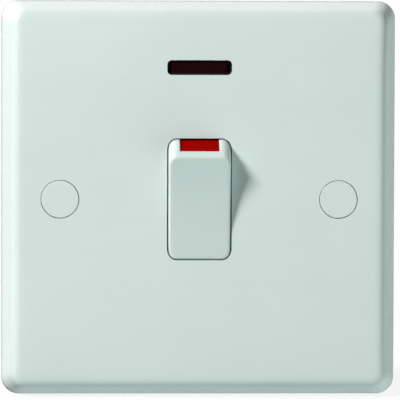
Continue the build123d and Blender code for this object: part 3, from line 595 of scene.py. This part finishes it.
@dataclass(frozen=True)
class PlateFinish(MouldedFinish):
    """White moulding with painted shade and a duller gloss on its sides, and painted shade in the gaps round the
    rocker and the covers.
    """

    # Painted shade on the sides back from the face, which also get a duller gloss.
    side_shade: Colour = (0.905, 0.905, 0.905)
    side_rough: float = 0.62
    side_from: Span = (-8.3 * MM, -7.3 * MM)
    # Painted shade, nearly black, on the walls of the gaps just behind the face.
    gap_shade: Colour = (0.05, 0.055, 0.053)
    gap_shade_start: Span = (-8.98 * MM, -8.72 * MM)
    gap_shade_end: Span = (-7.0 * MM, -6.0 * MM)
    uneven_scale: float = 700.0
    uneven_band: Span = (0.3, 0.6)
    uneven: Span = (0.75, 1.0)
    slot_half: Point2 = (7.05 * MM, 14.6 * MM)
    seat_x: float = 30.15 * MM
    seat_r: float = 4.25 * MM
    border: Span = (36.0 * MM, 37.5 * MM)
    border_r: float = 2.4 * MM

    def gaps(
        self, nodes: Nodes, across: bpy.types.NodeSocket, up: bpy.types.NodeSocket,
    ) -> bpy.types.NodeSocket:
        """Mask the rocker's aperture and the seats of the covers.

        Args:
            nodes: Builder of the material's tree.
            across: Distance from the middle to either side.
            up: Distance from the middle up or down.

        Returns:
            One inside them and nought elsewhere.
        """
        inside = nodes.maths("LESS_THAN", across, self.slot_half[0])
        inside = nodes.maths("MULTIPLY", inside, nodes.maths("LESS_THAN", up, self.slot_half[1]))
        off = nodes.add("CombineXYZ", {0: nodes.maths("SUBTRACT", across, self.seat_x), 2: up}).outputs[0]
        reach = nodes.add("VectorMath", {0: off}, operation="LENGTH").outputs["Value"]
        return nodes.maths("MAXIMUM", inside, nodes.maths("LESS_THAN", reach, self.seat_r))

    def make(self) -> bpy.types.Material:
        """Build the material.

        Returns:
            A material named for the slot.
        """
        made = super().make()
        nodes = Nodes(made.node_tree)
        shader = made.node_tree.nodes["Principled BSDF"]
        colour, rough = shader.inputs["Base Color"], shader.inputs["Roughness"]
        place = nodes.add("TexCoord").outputs["Object"]
        where = nodes.add("SeparateXYZ", {0: place}).outputs
        across, up = nodes.maths("ABSOLUTE", where["X"]), nodes.maths("ABSOLUTE", where["Z"])
        patches = nodes.noise(place, self.uneven_scale, detail=3.0)
        amount = nodes.span(patches, self.uneven_band, self.uneven)
        # Painted shade: the gaps round the rocker and the covers are darkened just behind the face.
        share = nodes.maths("MULTIPLY", nodes.span(where["Y"], self.gap_shade_start, RISE), amount)
        share = nodes.maths("MULTIPLY", share, nodes.span(where["Y"], self.gap_shade_end, FALL))
        share = nodes.maths("MULTIPLY", share, self.gaps(nodes, across, up))
        # Painted shade: the sides are darkened a little, and their gloss is dulled.
        shade_and_dull = nodes.maths("MULTIPLY", nodes.span(where["Y"], self.side_from, RISE), amount)
        side_shaded = nodes.blend(shade_and_dull, colour.links[0].from_socket, (*self.side_shade, 1.0), "MULTIPLY")
        nodes.feed(colour, nodes.blend(share, side_shaded, (*self.gap_shade, 1.0)))
        dull = nodes.maths("MULTIPLY", shade_and_dull, self.side_rough)
        nodes.feed(rough, nodes.maths("MAXIMUM", rough.links[0].from_socket, dull))
        outer = nodes.span(nodes.maths("MAXIMUM", across, up), self.border, RISE)
        flat = nodes.add("NewGeometry").outputs["Normal"]
        rounded = nodes.add("Bevel", {"Radius": self.border_r}, samples=EDGE_SAMPLES).outputs["Normal"]
        bump = shader.inputs["Normal"].links[0].from_node
        nodes.feed(bump.inputs["Normal"], nodes.blend(outer, flat, rounded))
        return made


@dataclass(frozen=True)
class MetalFinish:
    """Drawn, turned or plated metal."""

    slot: str
    bright: Colour
    dull: Colour
    gloss: float
    stretch: Point3 = (900.0, 900.0, 60.0)
    bloom: float = 0.5
    line_depth: float = 0.0015

    def make(self) -> bpy.types.Material:
        """Build the material.

        Returns:
            A material named for the slot.
        """
        made, nodes, shader = Nodes.material(f"{self.slot}_finish")
        inputs = {"Bright": (*self.bright, 1.0), "Dull": (*self.dull, 1.0), "Line Stretch": self.stretch}
        inputs |= {"Bloom": self.bloom, "Gloss": self.gloss}
        metal = nodes.add("Group", inputs, node_tree=Effects.worked_metal()).outputs
        nodes.surface(shader, metal["Colour"], metal["Roughness"], metal["Height"], self.line_depth)
        shader.inputs["Metallic"].default_value = 1.0
        return made


@dataclass(frozen=True)
class ClearFinish:
    """Tinted glass that lets light through."""

    slot: str
    colour: Colour
    gloss: float
    through: float
    gloss_range: float = 0.03
    drift: float = 0.08
    ripple_mm: float = 1.2
    ripple_depth: float = 0.004

    def make(self) -> bpy.types.Material:
        """Build the material.

        Returns:
            A material named for the slot.
        """
        made, nodes, shader = Nodes.material(f"{self.slot}_finish")
        gloss = (self.gloss, self.gloss_range)
        skin = Effects.skin(nodes, (*self.colour, 1.0), self.drift, self.ripple_mm, gloss).outputs
        nodes.surface(shader, skin["Colour"], skin["Roughness"], skin["Height"], self.ripple_depth)
        shader.inputs["Transmission Weight"].default_value = self.through
        shader.inputs["IOR"].default_value = PLASTIC_INDEX
        return made


@dataclass(frozen=True)
class LensFinish:
    """Dark red window with a lighter field over the lamp, and a border painted nearly black as the shade of the
    window's walls.
    """

    slot: str
    field_colour: Colour
    # Painted shade along the window's edges.
    border: Colour
    centre: Point2
    half: Point2
    soft: float
    gloss: float
    through: float
    shine: float
    gloss_range: float = 0.03
    drift: float = 0.1
    peel_mm: float = 1.25
    peel_depth: float = 0.003

    def make(self) -> bpy.types.Material:
        """Build the material.

        Returns:
            A material named for the slot.
        """
        made, nodes, shader = Nodes.material(f"{self.slot}_finish")
        where = nodes.add("SeparateXYZ", {0: nodes.add("TexCoord").outputs["Object"]}).outputs
        masks = []
        for axis, middle, half in zip("XZ", self.centre, self.half):
            off = nodes.maths("ABSOLUTE", nodes.maths("SUBTRACT", where[axis], middle))
            masks.append(nodes.span(off, (half, half + self.soft), FALL))
        unshaded_field = nodes.maths("MULTIPLY", *masks)
        # Painted shade: outside the field the window turns nearly black, as the shade of its walls.
        colour = nodes.blend(unshaded_field, (*self.border, 1.0), (*self.field_colour, 1.0))
        gloss = (self.gloss, self.gloss_range)
        skin = Effects.skin(nodes, colour, self.drift, self.peel_mm, gloss).outputs
        nodes.surface(shader, skin["Colour"], skin["Roughness"], skin["Height"], self.peel_depth)
        shader.inputs["Transmission Weight"].default_value = self.through
        shader.inputs["IOR"].default_value = PLASTIC_INDEX
        shader.inputs["Specular IOR Level"].default_value = self.shine
        return made


@dataclass(frozen=True)
class BandedFinish:
    """Lacquered resistor body with plain colour bands round it."""

    slot: str
    body: Colour
    bands: tuple[Colour, ...]
    first_x: float
    pitch: float
    width: float
    wobble: float = 0.12 * MM
    wobble_scale: float = 900.0
    gloss: Span = (0.35, 0.06)
    drift: float = 0.06
    peel_mm: float = 0.4
    peel_depth: float = 0.004

    def make(self) -> bpy.types.Material:
        """Build the material.

        Returns:
            A material named for the slot.
        """
        made, nodes, shader = Nodes.material(f"{self.slot}_finish")
        where = nodes.add("TexCoord").outputs["Object"]
        along = nodes.add("SeparateXYZ", {0: where}).outputs["X"]
        wander = nodes.maths("MULTIPLY", nodes.noise(where, self.wobble_scale), self.wobble)
        along = nodes.maths("ADD", along, wander)
        skin = Effects.skin(nodes, (*self.body, 1.0), self.drift, self.peel_mm, self.gloss).outputs
        colour = skin["Colour"]
        for number, band in enumerate(self.bands):
            middle = self.first_x + number * self.pitch
            off = nodes.maths("ABSOLUTE", nodes.maths("SUBTRACT", along, middle))
            share = nodes.maths("LESS_THAN", off, self.width / 2)
            colour = nodes.blend(share, colour, (*band, 1.0))
        nodes.surface(shader, colour, skin["Roughness"], skin["Height"], self.peel_depth)
        return made


Finish = MouldedFinish | MetalFinish | ClearFinish | LensFinish | BandedFinish


@dataclass
class FinishSet:
    """All finishes of the switch, by the slot names of the record, and those of single solids."""

    finishes: tuple[Finish, ...] = (
        PlateFinish("plate_moulding", (0.722, 0.8, 0.768), 0.36, scuffs=0.25),
        MouldedFinish("white_moulding", (0.722, 0.8, 0.768), 0.36, scuffs=0.25),
        # Painted shade: the rocker is the plate's white moulding made a little darker.
        MouldedFinish(
            "rocker_shaded_moulding", (0.668, 0.752, 0.722), 0.36, scuffs=0.25,
            glow=0.5, glow_mm=1.2, edge_mm=0.55,
        ),
        MouldedFinish("flag_red", (0.30, 0.0015, 0.001), 0.5, drift=0.05, shine=0.0),
        LensFinish(
            # The border colour is painted shade from the window's walls.
            "lens_red", field_colour=(0.016, 0.0024, 0.0034), border=(0.0012, 0.0009, 0.0009),
            centre=(-0.15 * MM, 28.37 * MM), half=(5.85 * MM, 1.14 * MM), soft=0.2 * MM,
            gloss=0.2, through=0.1, shine=0.15,
        ),
        MouldedFinish("base_moulding", (0.66, 0.645, 0.58), 0.5, drift=0.045, peel_depth=0.006),
        MetalFinish("brass", (0.80, 0.58, 0.24), (0.46, 0.30, 0.12), 0.26),
        MetalFinish("silver", (0.86, 0.85, 0.83), (0.5, 0.49, 0.47), 0.34, (500.0, 500.0, 500.0)),
        MetalFinish("zinc_steel", (0.70, 0.71, 0.72), (0.42, 0.44, 0.47), 0.28, (300.0, 1500.0, 300.0)),
        MetalFinish("spring_steel", (0.56, 0.56, 0.57), (0.24, 0.24, 0.25), 0.3, (400.0, 400.0, 400.0)),
        MouldedFinish("nylon", (0.74, 0.71, 0.62), 0.42, drift=0.04, glow=0.2),
        ClearFinish("lamp_glass", (0.95, 0.93, 0.91), gloss=0.04, through=1.0, ripple_mm=2.5),
        BandedFinish(
            "resistor_body", body=(0.55, 0.40, 0.22),
            bands=((0.16, 0.05, 0.02), (0.62, 0.42, 0.02), (0.55, 0.34, 0.01)),
            first_x=2.9 * MM, pitch=0.75 * MM, width=0.4 * MM,
        ),
        MouldedFinish(
            "lead_sleeve", (0.035, 0.034, 0.036), 0.48, drift=0.1, peel_mm=0.2, peel_depth=0.008,
        ),
    )
    own: dict[str, str] = field(
        default_factory=lambda: {"front_plate": "plate_moulding", "rocker": "rocker_shaded_moulding"}
    )
    made: dict[str, bpy.types.Material] = field(default_factory=dict)

    def build(self) -> None:
        """Make every material once."""
        self.made = {finish.slot: finish.make() for finish in self.finishes}

    def dress(self, piece: bpy.types.Object, slot: str) -> None:
        """Give a piece one finish all over."""
        piece.data.materials.clear()
        piece.data.materials.append(self.made[slot])

    def dress_solids(self, record: dict, nodes: dict[str, bpy.types.Object]) -> None:
        """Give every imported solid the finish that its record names, or one of its own.

        Args:
            record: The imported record.
            nodes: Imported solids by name.
        """
        for row in record["subparts"]:
            finish = self.own.get(row["node"], row["material_slot"])
            for place in nodes[row["node"]].material_slots:
                place.material = self.made[finish]
            LOG.info("solid %s: %s", row["node"], finish)


@dataclass
class ScrewKind:
    """One kind of slotted screw, modelled once along the Y axis and copied to its places."""

    node: str
    body: Body
    facing: Facing
    head_r: float
    head_h: float
    thread_r: float
    pitch: float
    neck_r: float
    neck_l: float
    length: float
    places: tuple[Point2, ...]
    head_y: float
    slot_w: float = 0.9 * MM
    slot_d: float = 1.0 * MM
    slot_edge: float = 0.12 * MM
    slot_turn: tuple[float, ...] = (0.0,)
    crown: float = 0.25 * MM
    edge: float = 0.45 * MM
    chamfer: float = 0.12 * MM
    thread_depth: float = 0.61
    core_gap: float = 0.02 * MM
    runout: float = 0.1 * MM
    tip: float = 0.5 * MM
    slot: str = "zinc_steel"
    head_steps: int = 48
    thread_steps: int = 36

    def root_r(self) -> float:
        """Radius at the foot of the thread."""
        return self.thread_r - self.thread_depth * self.pitch

    def slot_cutter(self) -> bpy.types.Object:
        """Shape the bar that cuts the driver slot.

        Returns:
            The bar, level with the top of the head.
        """
        Bench.clear()
        bpy.ops.mesh.primitive_cube_add(size=1.0)
        cutter = bpy.context.object
        bpy.ops.object.mode_set(mode="EDIT")
        bpy.ops.mesh.select_all(action="SELECT")
        bpy.ops.transform.resize(value=(2.4 * self.head_r, 2 * self.slot_d, self.slot_w))
        bpy.ops.transform.translate(value=(0, -self.head_h, 0))
        bpy.ops.object.mode_set(mode="OBJECT")
        Bench.apply(cutter, "BEVEL", width=self.slot_edge, segments=2)
        return cutter

    def head_and_core(self) -> bpy.types.Object:
        """Turn the head, neck and core, and cut the driver slot.

        Returns:
            The piece with its seat on the origin, its head below and its shank above.
        """
        core = self.root_r() - self.core_gap
        top, rim, edge = -self.head_h, self.head_r, self.edge
        shoulder = top + self.crown
        outline = [
            (0.0, top), (rim * 0.35, top + self.crown * 0.12), (rim * 0.65, top + self.crown * 0.45),
            (rim - edge, shoulder), (rim - edge * 0.35, shoulder + edge * 0.3), (rim, shoulder + edge),
            (rim, -self.chamfer), (rim - self.chamfer, 0.0), (self.neck_r, 0.0), (self.neck_r, self.neck_l),
            (core, self.neck_l + self.runout), (core, self.length - self.tip),
            (core - self.tip * 0.6, self.length), (0.0, self.length),
        ]
        piece = Bench.turn_solid(f"{self.node}_pattern", outline, self.head_steps)
        Bench.cut(piece, self.slot_cutter())
        return piece

    def thread(self) -> bpy.types.Object:
        """Wind the thread along the shank.

        Returns:
            The closed thread, from the neck to the start of the tip.
        """
        crest, root, step = self.thread_r, self.root_r(), self.pitch
        start = self.neck_l - step
        profile = [
            (root, start), (root, start + 0.12 * step), (crest, start + 0.5 * step),
            (crest, start + 0.62 * step), (root, start + step),
        ]
        turns = int((self.length - self.neck_l) / step) + 2
        piece = Bench.outline(f"{self.node}_thread", profile)
        Bench.apply(
            piece, "SCREW", axis="Y", angle=FULL_TURN, screw_offset=step, iterations=turns,
            steps=self.thread_steps, render_steps=self.thread_steps, use_merge_vertices=True,
        )
        Bench.tidy(piece)
        Bench.trim(piece, self.length - 0.7 * self.tip, True)
        Bench.trim(piece, self.neck_l + self.runout / 2, False)
        return piece

    def build(self, finishes: FinishSet) -> None:
        """Model the screw once and copy it to each of its places.

        Args:
            finishes: Finishes to dress the screws with.
        """
        pattern = Bench.join(self.head_and_core(), self.thread())
        Bench.smooth(pattern)
        for number, (x, z) in enumerate(self.places):
            screw = Bench.copy(pattern, f"{self.node}_{number + 1}")
            turn = self.slot_turn[number % len(self.slot_turn)]
            Bench.place(screw, Vector(), (0.0, radians(turn), 0.0))
            about = 0.0 if self.facing is Facing.FRONT else pi
            seat = self.head_y - self.facing.value * self.head_h
            Bench.place(screw, Vector((x, seat, z)), (about, 0.0, 0.0))
            finishes.dress(screw, self.slot)
            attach(screw, self.body.value)
            LOG.info("screw %s", screw.name)
        bpy.data.objects.remove(pattern)
        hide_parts(self.node)


@dataclass
class Fasteners:
    """Fixing screws under the covers, terminal screws and the screws that hold the base."""

    fix_x: float = 30.15 * MM
    block_x: float = 8.0 * MM
    block_z: float = 20.5 * MM
    base_head: float = 1.8 * MM
    base_reach: float = 5.95 * MM

    def kinds(self) -> tuple[ScrewKind, ...]:
        """Size the three kinds, with head places read from the solids.

        Returns:
            The fixing, terminal and base screws.
        """
        fixing_low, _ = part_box("fixing_screws")
        _, terminal_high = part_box("terminal_screws")
        _, base_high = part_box("base_screws")
        four = tuple((sx * self.block_x, sz * self.block_z) for sz in (1, -1) for sx in (-1, 1))
        return (
            ScrewKind(
                "fixing_screws", Body.PLATE, Facing.FRONT, head_r=3.3 * MM, head_h=2.0 * MM,
                thread_r=1.75 * MM, pitch=0.6 * MM, neck_r=1.55 * MM, neck_l=3.9 * MM, length=25.0 * MM,
                places=((-self.fix_x, 0.0), (self.fix_x, 0.0)), head_y=fixing_low.y,
            ),
            ScrewKind(
                "terminal_screws", Body.PLATE, Facing.REAR, head_r=2.9 * MM, head_h=2.6 * MM,
                thread_r=2.0 * MM, pitch=0.7 * MM, neck_r=1.6 * MM, neck_l=0.4 * MM, length=5.6 * MM,
                places=four, head_y=terminal_high.y, slot_turn=(24.0, -38.0, 71.0, -8.0),
            ),
            ScrewKind(
                "base_screws", Body.PLATE, Facing.REAR, head_r=2.8 * MM, head_h=self.base_head,
                thread_r=1.45 * MM, pitch=0.9 * MM, neck_r=1.2 * MM, neck_l=0.8 * MM,
                length=base_high.y - self.base_head + self.base_reach,
                places=((0.0, self.block_z), (0.0, -self.block_z)), head_y=base_high.y,
                slot_turn=(52.0, -17.0), tip=0.7 * MM,
            ),
        )

    def build(self, finishes: FinishSet) -> None:
        """Model every screw."""
        for kind in self.kinds():
            kind.build(finishes)


@dataclass
class RockerFlag:
    """Red flag in the rocker's upper end, lifted almost level with the curve round it."""

    lift: float = 0.2 * MM
    skin: float = 0.05 * MM

    @staticmethod
    def pivot() -> Vector:
        """Point that the rocker turns about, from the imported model."""
        hinge = next(joint for joint in frame["joints"] if joint["name"] == "rocker_pivot")
        return Vector(hinge["pos_m"])

    def build(self, finishes: FinishSet) -> None:
        """Copy the flag's solid and lift its outer curve away from the pivot.

        Args:
            finishes: Finishes to dress the flag with.
        """
        mesh = frame["nodes"]["rocker_flag"].data.copy()
        flag = bpy.data.objects.new("lifted_flag", mesh)
        bpy.context.scene.collection.objects.link(flag)
        Bench.tidy(flag)
        bpy.ops.mesh.customdata_custom_splitnormals_clear()
        bpy.ops.object.mode_set(mode="EDIT")
        bpy.ops.mesh.select_mode(type="VERT")
        bpy.ops.mesh.select_all(action="DESELECT")
        bpy.ops.object.mode_set(mode="OBJECT")
        pivot = self.pivot()
        reach = [(spot.co - pivot).yz.length for spot in mesh.vertices]
        outer = max(reach)
        for spot, far in zip(mesh.vertices, reach):
            spot.select = far > outer - self.skin
        bpy.ops.object.mode_set(mode="EDIT")
        grown = (outer + self.lift) / outer
        bpy.ops.transform.resize(value=(1.0, grown, grown), center_override=pivot)
        bpy.ops.object.mode_set(mode="OBJECT")
        Bench.smooth(flag)
        finishes.dress(flag, "flag_red")
        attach(flag, Body.ROCKER.value)
        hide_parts("rocker_flag")
        LOG.info("flag: lifted %.2f mm", self.lift / MM)


@dataclass
class PlungerSprings:
    """Coil springs in the rocker's tubes."""

    pole_x: float = 4.4 * MM
    pivot_y: float = -1.0 * MM
    coil_r: float = 1.27 * MM
    wire_r: float = 0.18 * MM
    seat: float = -5.27 * MM
    length: float = 5.64 * MM
    turns: int = 6
    travel: float = 1.2 * MM
    wire_sides: int = 12
    coil_steps: int = 32
    smooth_angle: float = 50.0

    @staticmethod
    def rear() -> Vector:
        """Way that the tubes open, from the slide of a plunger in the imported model."""
        slide = next(joint for joint in frame["joints"] if joint["name"] == "plunger_live_slide")
        return -Vector(slide["axis"]).normalized()

    def coil(self) -> bpy.types.Object:
        """Wind a spring along the Y axis and close its ends.

        Returns:
            The spring, with its first turn at the origin.
        """
        angles = [FULL_TURN * side / self.wire_sides for side in range(self.wire_sides)]
        section = [(self.coil_r + self.wire_r * cos(turn), self.wire_r * sin(turn)) for turn in angles]
        pattern = Bench.outline("plunger_spring_pattern", section, closed=True)
        Bench.apply(
            pattern, "SCREW", axis="Y", angle=FULL_TURN, screw_offset=self.length / self.turns,
            iterations=self.turns, steps=self.coil_steps, render_steps=self.coil_steps,
            use_merge_vertices=True,
        )
        Bench.pick(pattern)
        bpy.ops.object.mode_set(mode="EDIT")
        bpy.ops.mesh.select_all(action="DESELECT")
        bpy.ops.mesh.select_non_manifold()
        bpy.ops.mesh.edge_face_add()
        bpy.ops.object.mode_set(mode="OBJECT")
        Bench.tidy(pattern)
        Bench.smooth(pattern, self.smooth_angle)
        return pattern

    def build(self, finishes: FinishSet) -> None:
        """Wind one spring and copy it to both poles.

        Args:
            finishes: Finishes to dress the springs with.
        """
        pattern = self.coil()
        rear = self.rear()
        lean = atan2(rear.z, rear.y)
        for name, side in (("live", -1), ("neutral", 1)):
            spring = Bench.copy(pattern, f"coil_spring_{name}")
            foot = Vector((side * self.pole_x, self.pivot_y, 0)) + rear * self.seat
            Bench.place(spring, foot, (lean, 0.0, 0.0))
            finishes.dress(spring, "spring_steel")
            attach(spring, Body.ROCKER.value)
            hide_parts(f"plunger_spring_{name}")
            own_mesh(spring)
            LOG.info("spring %s", spring.name)
        bpy.data.objects.remove(pattern)


@dataclass
class NeonLamp:
    """Small discharge lamp: glass envelope with a sealed tip and two electrodes inside."""

    radius: float = 1.5 * MM
    wall: float = 0.25 * MM
    tip: float = 0.5 * MM
    stem_r: float = 0.16 * MM
    rod_r: float = 0.3 * MM
    rod_end_r: float = 0.18 * MM
    rod_x: float = 0.5 * MM
    glass_steps: int = 40
    rod_steps: int = 16
    smooth_angle: float = 40.0

    def envelope(self, length: float) -> bpy.types.Object:
        """Turn the glass along the Y axis and hollow it out.

        Args:
            length: Length of the lamp.

        Returns:
            The glass, with its sealed tip away from the origin.
        """
        r, t = self.radius, self.wall
        outline = [
            (0.0, 0.0), (0.55 * r, 0.0), (0.86 * r, 0.12 * r), (r, 0.45 * r), (r, length - 0.9 * r),
            (0.9 * r, length - 0.55 * r), (0.62 * r, length - 0.3 * r), (self.tip, length - 0.16 * r),
            (0.55 * self.tip, length - 0.04 * r), (0.0, length),
        ]
        inside = [
            (0.0, length - 0.5 * r), (0.6 * r, length - 0.55 * r), (r - t, length - 0.95 * r),
            (r - t, 0.7 * r), (0.7 * r, 0.5 * r), (0.0, 0.45 * r),
        ]
        glass = Bench.turn_solid("lamp_envelope", outline, self.glass_steps)
        hollow = Bench.turn_solid("lamp_hollow", inside, self.glass_steps)
        Bench.cut(glass, hollow)
        Bench.smooth(glass, self.smooth_angle)
        return glass

    def electrodes(self, length: float) -> bpy.types.Object:
        """Turn the two electrodes side by side along the Y axis.

        Args:
            length: Length of the lamp.

        Returns:
            Both electrodes as one piece.
        """
        r = self.radius
        stem = [
            (0.0, 0.05 * r), (self.stem_r, 0.05 * r), (self.stem_r, r), (self.rod_r, 1.1 * r),
            (self.rod_r, length - 1.5 * r), (self.rod_end_r, length - 1.4 * r), (0.0, length - 1.38 * r),
        ]
        rods = []
        for side in (-1, 1):
            rod = Bench.turn_solid(f"electrode_{side}", stem, self.rod_steps)
            Bench.place(rod, Vector((side * self.rod_x, 0, 0)))
            rods.append(rod)
        pair = Bench.join(*rods)
        pair.name = "lamp_electrodes"
        Bench.smooth(pair)
        return pair

    def build(self, finishes: FinishSet) -> None:
        """Make the glass and the electrodes, and lay them where the solid lies.

        Args:
            finishes: Finishes to dress the lamp with.
        """
        low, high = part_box("neon_lamp")
        length = high.x - low.x
        middle = Vector((low.x, (low.y + high.y) / 2, (low.z + high.z) / 2))
        glass = self.envelope(length)
        Bench.place(glass, middle, (0.0, 0.0, -pi / 2))
        finishes.dress(glass, "lamp_glass")
        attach(glass, Body.PLATE.value)
        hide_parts("neon_lamp")
        pair = self.electrodes(length)
        Bench.place(pair, middle, (pi / 2, 0.0, -pi / 2))
        finishes.dress(pair, "spring_steel")
        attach(pair, Body.PLATE.value)
        LOG.info("lamp: envelope and electrodes")


@dataclass
class Studio:
    """Floor, world, key light and camera."""

    key_from: Point3 = (-0.70, -0.46, 0.547)
    key_distance: float = 1.3
    key_size: float = 0.325
    key_watts: float = 23.6
    fill_from: Point3 = (0.61, -0.333, -0.719)
    fill_level: float = 3.8
    fill_spread: float = 8.0
    fill_tint: Colour = (0.83, 1.0, 0.97)
    rim_from: Point3 = (-0.08, 0.9, 0.43)
    rim_level: float = 2.6
    rim_spread: float = 4.0
    rim_tint: Colour = (1.0, 1.0, 1.0)
    backdrop: Span = (0.1, 0.5)
    floor_size: float = 1.0
    floor_z: float = -43.05 * MM
    floor_shade: float = 0.9
    floor_rough: float = 0.7
    floor_white: Span = (0.8, 1.0)
    floor_fade: Span = (0.06, 0.3)
    distance: float = 0.8
    elevation: float = 2.593
    azimuth: float = -1.913
    roll: float = 0.161
    lens: float = 329.0
    sensor: float = 36.0
    shift: Point2 = (0.005, -0.0062)
    clip: Span = (0.05, 20.0)

    @staticmethod
    def aim(
        name: str, data: bpy.types.Camera | bpy.types.Light, toward: Vector, distance: float,
        roll: float = 0.0,
    ) -> bpy.types.Object:
        """Put a camera or lamp out along a direction, so that it looks back at the origin.

        Args:
            name: Name of the new object.
            data: Camera or lamp.
            toward: Direction of unit length.
            distance: Distance from the origin.
            roll: Turn about the line of sight in radians.

        Returns:
            The new object.
        """
        made = bpy.data.objects.new(name, data)
        bpy.context.scene.collection.objects.link(made)
        made.location = toward * distance
        made.rotation_mode = "QUATERNION"
        made.rotation_quaternion = (-toward).to_track_quat("-Z", "Y") @ Quaternion((0, 0, 1), roll)
        return made

    @staticmethod
    def rays(nodes: Nodes) -> tuple[bpy.types.NodeSocket, bpy.types.NodeSocket]:
        """Tell the rays that see a surface from those that light it.

        Args:
            nodes: Builder of the tree that needs to know.

        Returns:
            Whether a ray comes from the camera, and whether it is mirrored or let through.
        """
        path = nodes.add("LightPath").outputs
        mirrored = nodes.maths("MAXIMUM", path["Is Glossy Ray"], path["Is Transmission Ray"])
        return path["Is Camera Ray"], mirrored

    def camera(self) -> None:
        """Set the camera at the photograph's viewing angle."""
        made = bpy.data.cameras.new("studio_camera")
        made.lens = self.lens
        made.sensor_width = self.sensor
        made.shift_x, made.shift_y = self.shift
        made.clip_start, made.clip_end = self.clip
        side, up = radians(self.azimuth), radians(self.elevation)
        back = Vector((sin(side) * cos(up), -cos(side) * cos(up), sin(up)))
        eye = self.aim("studio_camera", made, back, self.distance, radians(self.roll))
        bpy.context.scene.camera = eye

    def key(self) -> None:
        """Hang one soft square light up on the left."""
        made = bpy.data.lights.new("key_light", "AREA")
        made.shape = "SQUARE"
        made.size = self.key_size
        made.energy = self.key_watts
        self.aim("key_light", made, Vector(self.key_from).normalized(), self.key_distance)

    def world(self) -> None:
        """Fill softly from the lower right, and from behind and a little above, on white."""
        made = bpy.data.worlds.new("studio_world")
        made.use_nodes = True
        nodes = Nodes(made.node_tree)
        made.node_tree.nodes.clear()
        way = nodes.add("TexCoord").outputs["Generated"]
        depth = nodes.add("SeparateXYZ", {0: way}).outputs["Y"]
        soft = []
        for place, level, spread, tint in (
            (self.fill_from, self.fill_level, self.fill_spread, self.fill_tint),
            (self.rim_from, self.rim_level, self.rim_spread, self.rim_tint),
        ):
            lean = nodes.add("VectorMath", {0: way, 1: place}, operation="DOT_PRODUCT").outputs["Value"]
            lobe = nodes.maths("POWER", nodes.maths("MAXIMUM", lean, 0.0), spread)
            inputs = {"Color": (*tint, 1.0), "Strength": nodes.maths("MULTIPLY", lobe, level)}
            soft.append(nodes.add("Background", inputs).outputs[0])
        light = nodes.add("AddShader", {0: soft[0], 1: soft[1]})
        behind = nodes.span(depth, self.backdrop, RISE)
        from_camera, mirrored = self.rays(nodes)
        seen = nodes.maths("MAXIMUM", from_camera, nodes.maths("MULTIPLY", mirrored, behind))
        white = nodes.add("Background", {"Color": WHITE, "Strength": 1.0})
        both = nodes.add("MixShader", {0: seen, 1: light.outputs[0], 2: white.outputs[0]})
        nodes.add("OutputWorld", {"Surface": both.outputs[0]})
        bpy.context.scene.world = made

    def floor(self) -> None:
        """Lay a pale floor that shows white, keeps the shadow and lets the fill through from below."""
        Bench.clear()
        bpy.ops.mesh.primitive_plane_add(size=self.floor_size, location=(0, 0, self.floor_z))
        plane = bpy.context.object
        plane.name = "studio_floor"
        made, nodes, shader = Nodes.material("studio_floor")
        shader.inputs["Base Color"].default_value = (self.floor_shade,) * 3 + (1.0,)
        shader.inputs["Roughness"].default_value = self.floor_rough
        seen = nodes.maths("MAXIMUM", *self.rays(nodes))
        where = nodes.add("TexCoord").outputs["Object"]
        away = nodes.add("VectorMath", {0: where}, operation="LENGTH").outputs["Value"]
        share = nodes.span(away, self.floor_fade, self.floor_white)
        white = nodes.add("Emission", {"Color": WHITE, "Strength": 1.0})
        pale = nodes.add("MixShader", {0: share, 1: shader.outputs[0], 2: white.outputs[0]})
        clear = nodes.add("BsdfTransparent")
        both = nodes.add("MixShader", {0: seen, 1: clear.outputs[0], 2: pale.outputs[0]})
        nodes.feed(made.node_tree.nodes["Material Output"].inputs["Surface"], both.outputs[0])
        plane.data.materials.append(made)

    def build(self) -> None:
        """Set up the whole studio."""
        self.camera()
        self.key()
        self.world()
        self.floor()
        bpy.context.scene.view_settings.view_transform = "Standard"


def main() -> None:
    """Build the studio, the finishes and the new pieces, in order."""
    logging.basicConfig(level=logging.INFO, format="%(name)s: %(message)s")
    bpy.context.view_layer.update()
    Studio().build()
    finishes = FinishSet()
    finishes.build()
    finishes.dress_solids(frame["record"], frame["nodes"])
    Fasteners().build(finishes)
    RockerFlag().build(finishes)
    PlungerSprings().build(finishes)
    NeonLamp().build(finishes)
    Bench.clear()


if __name__ == "__main__":
    main()
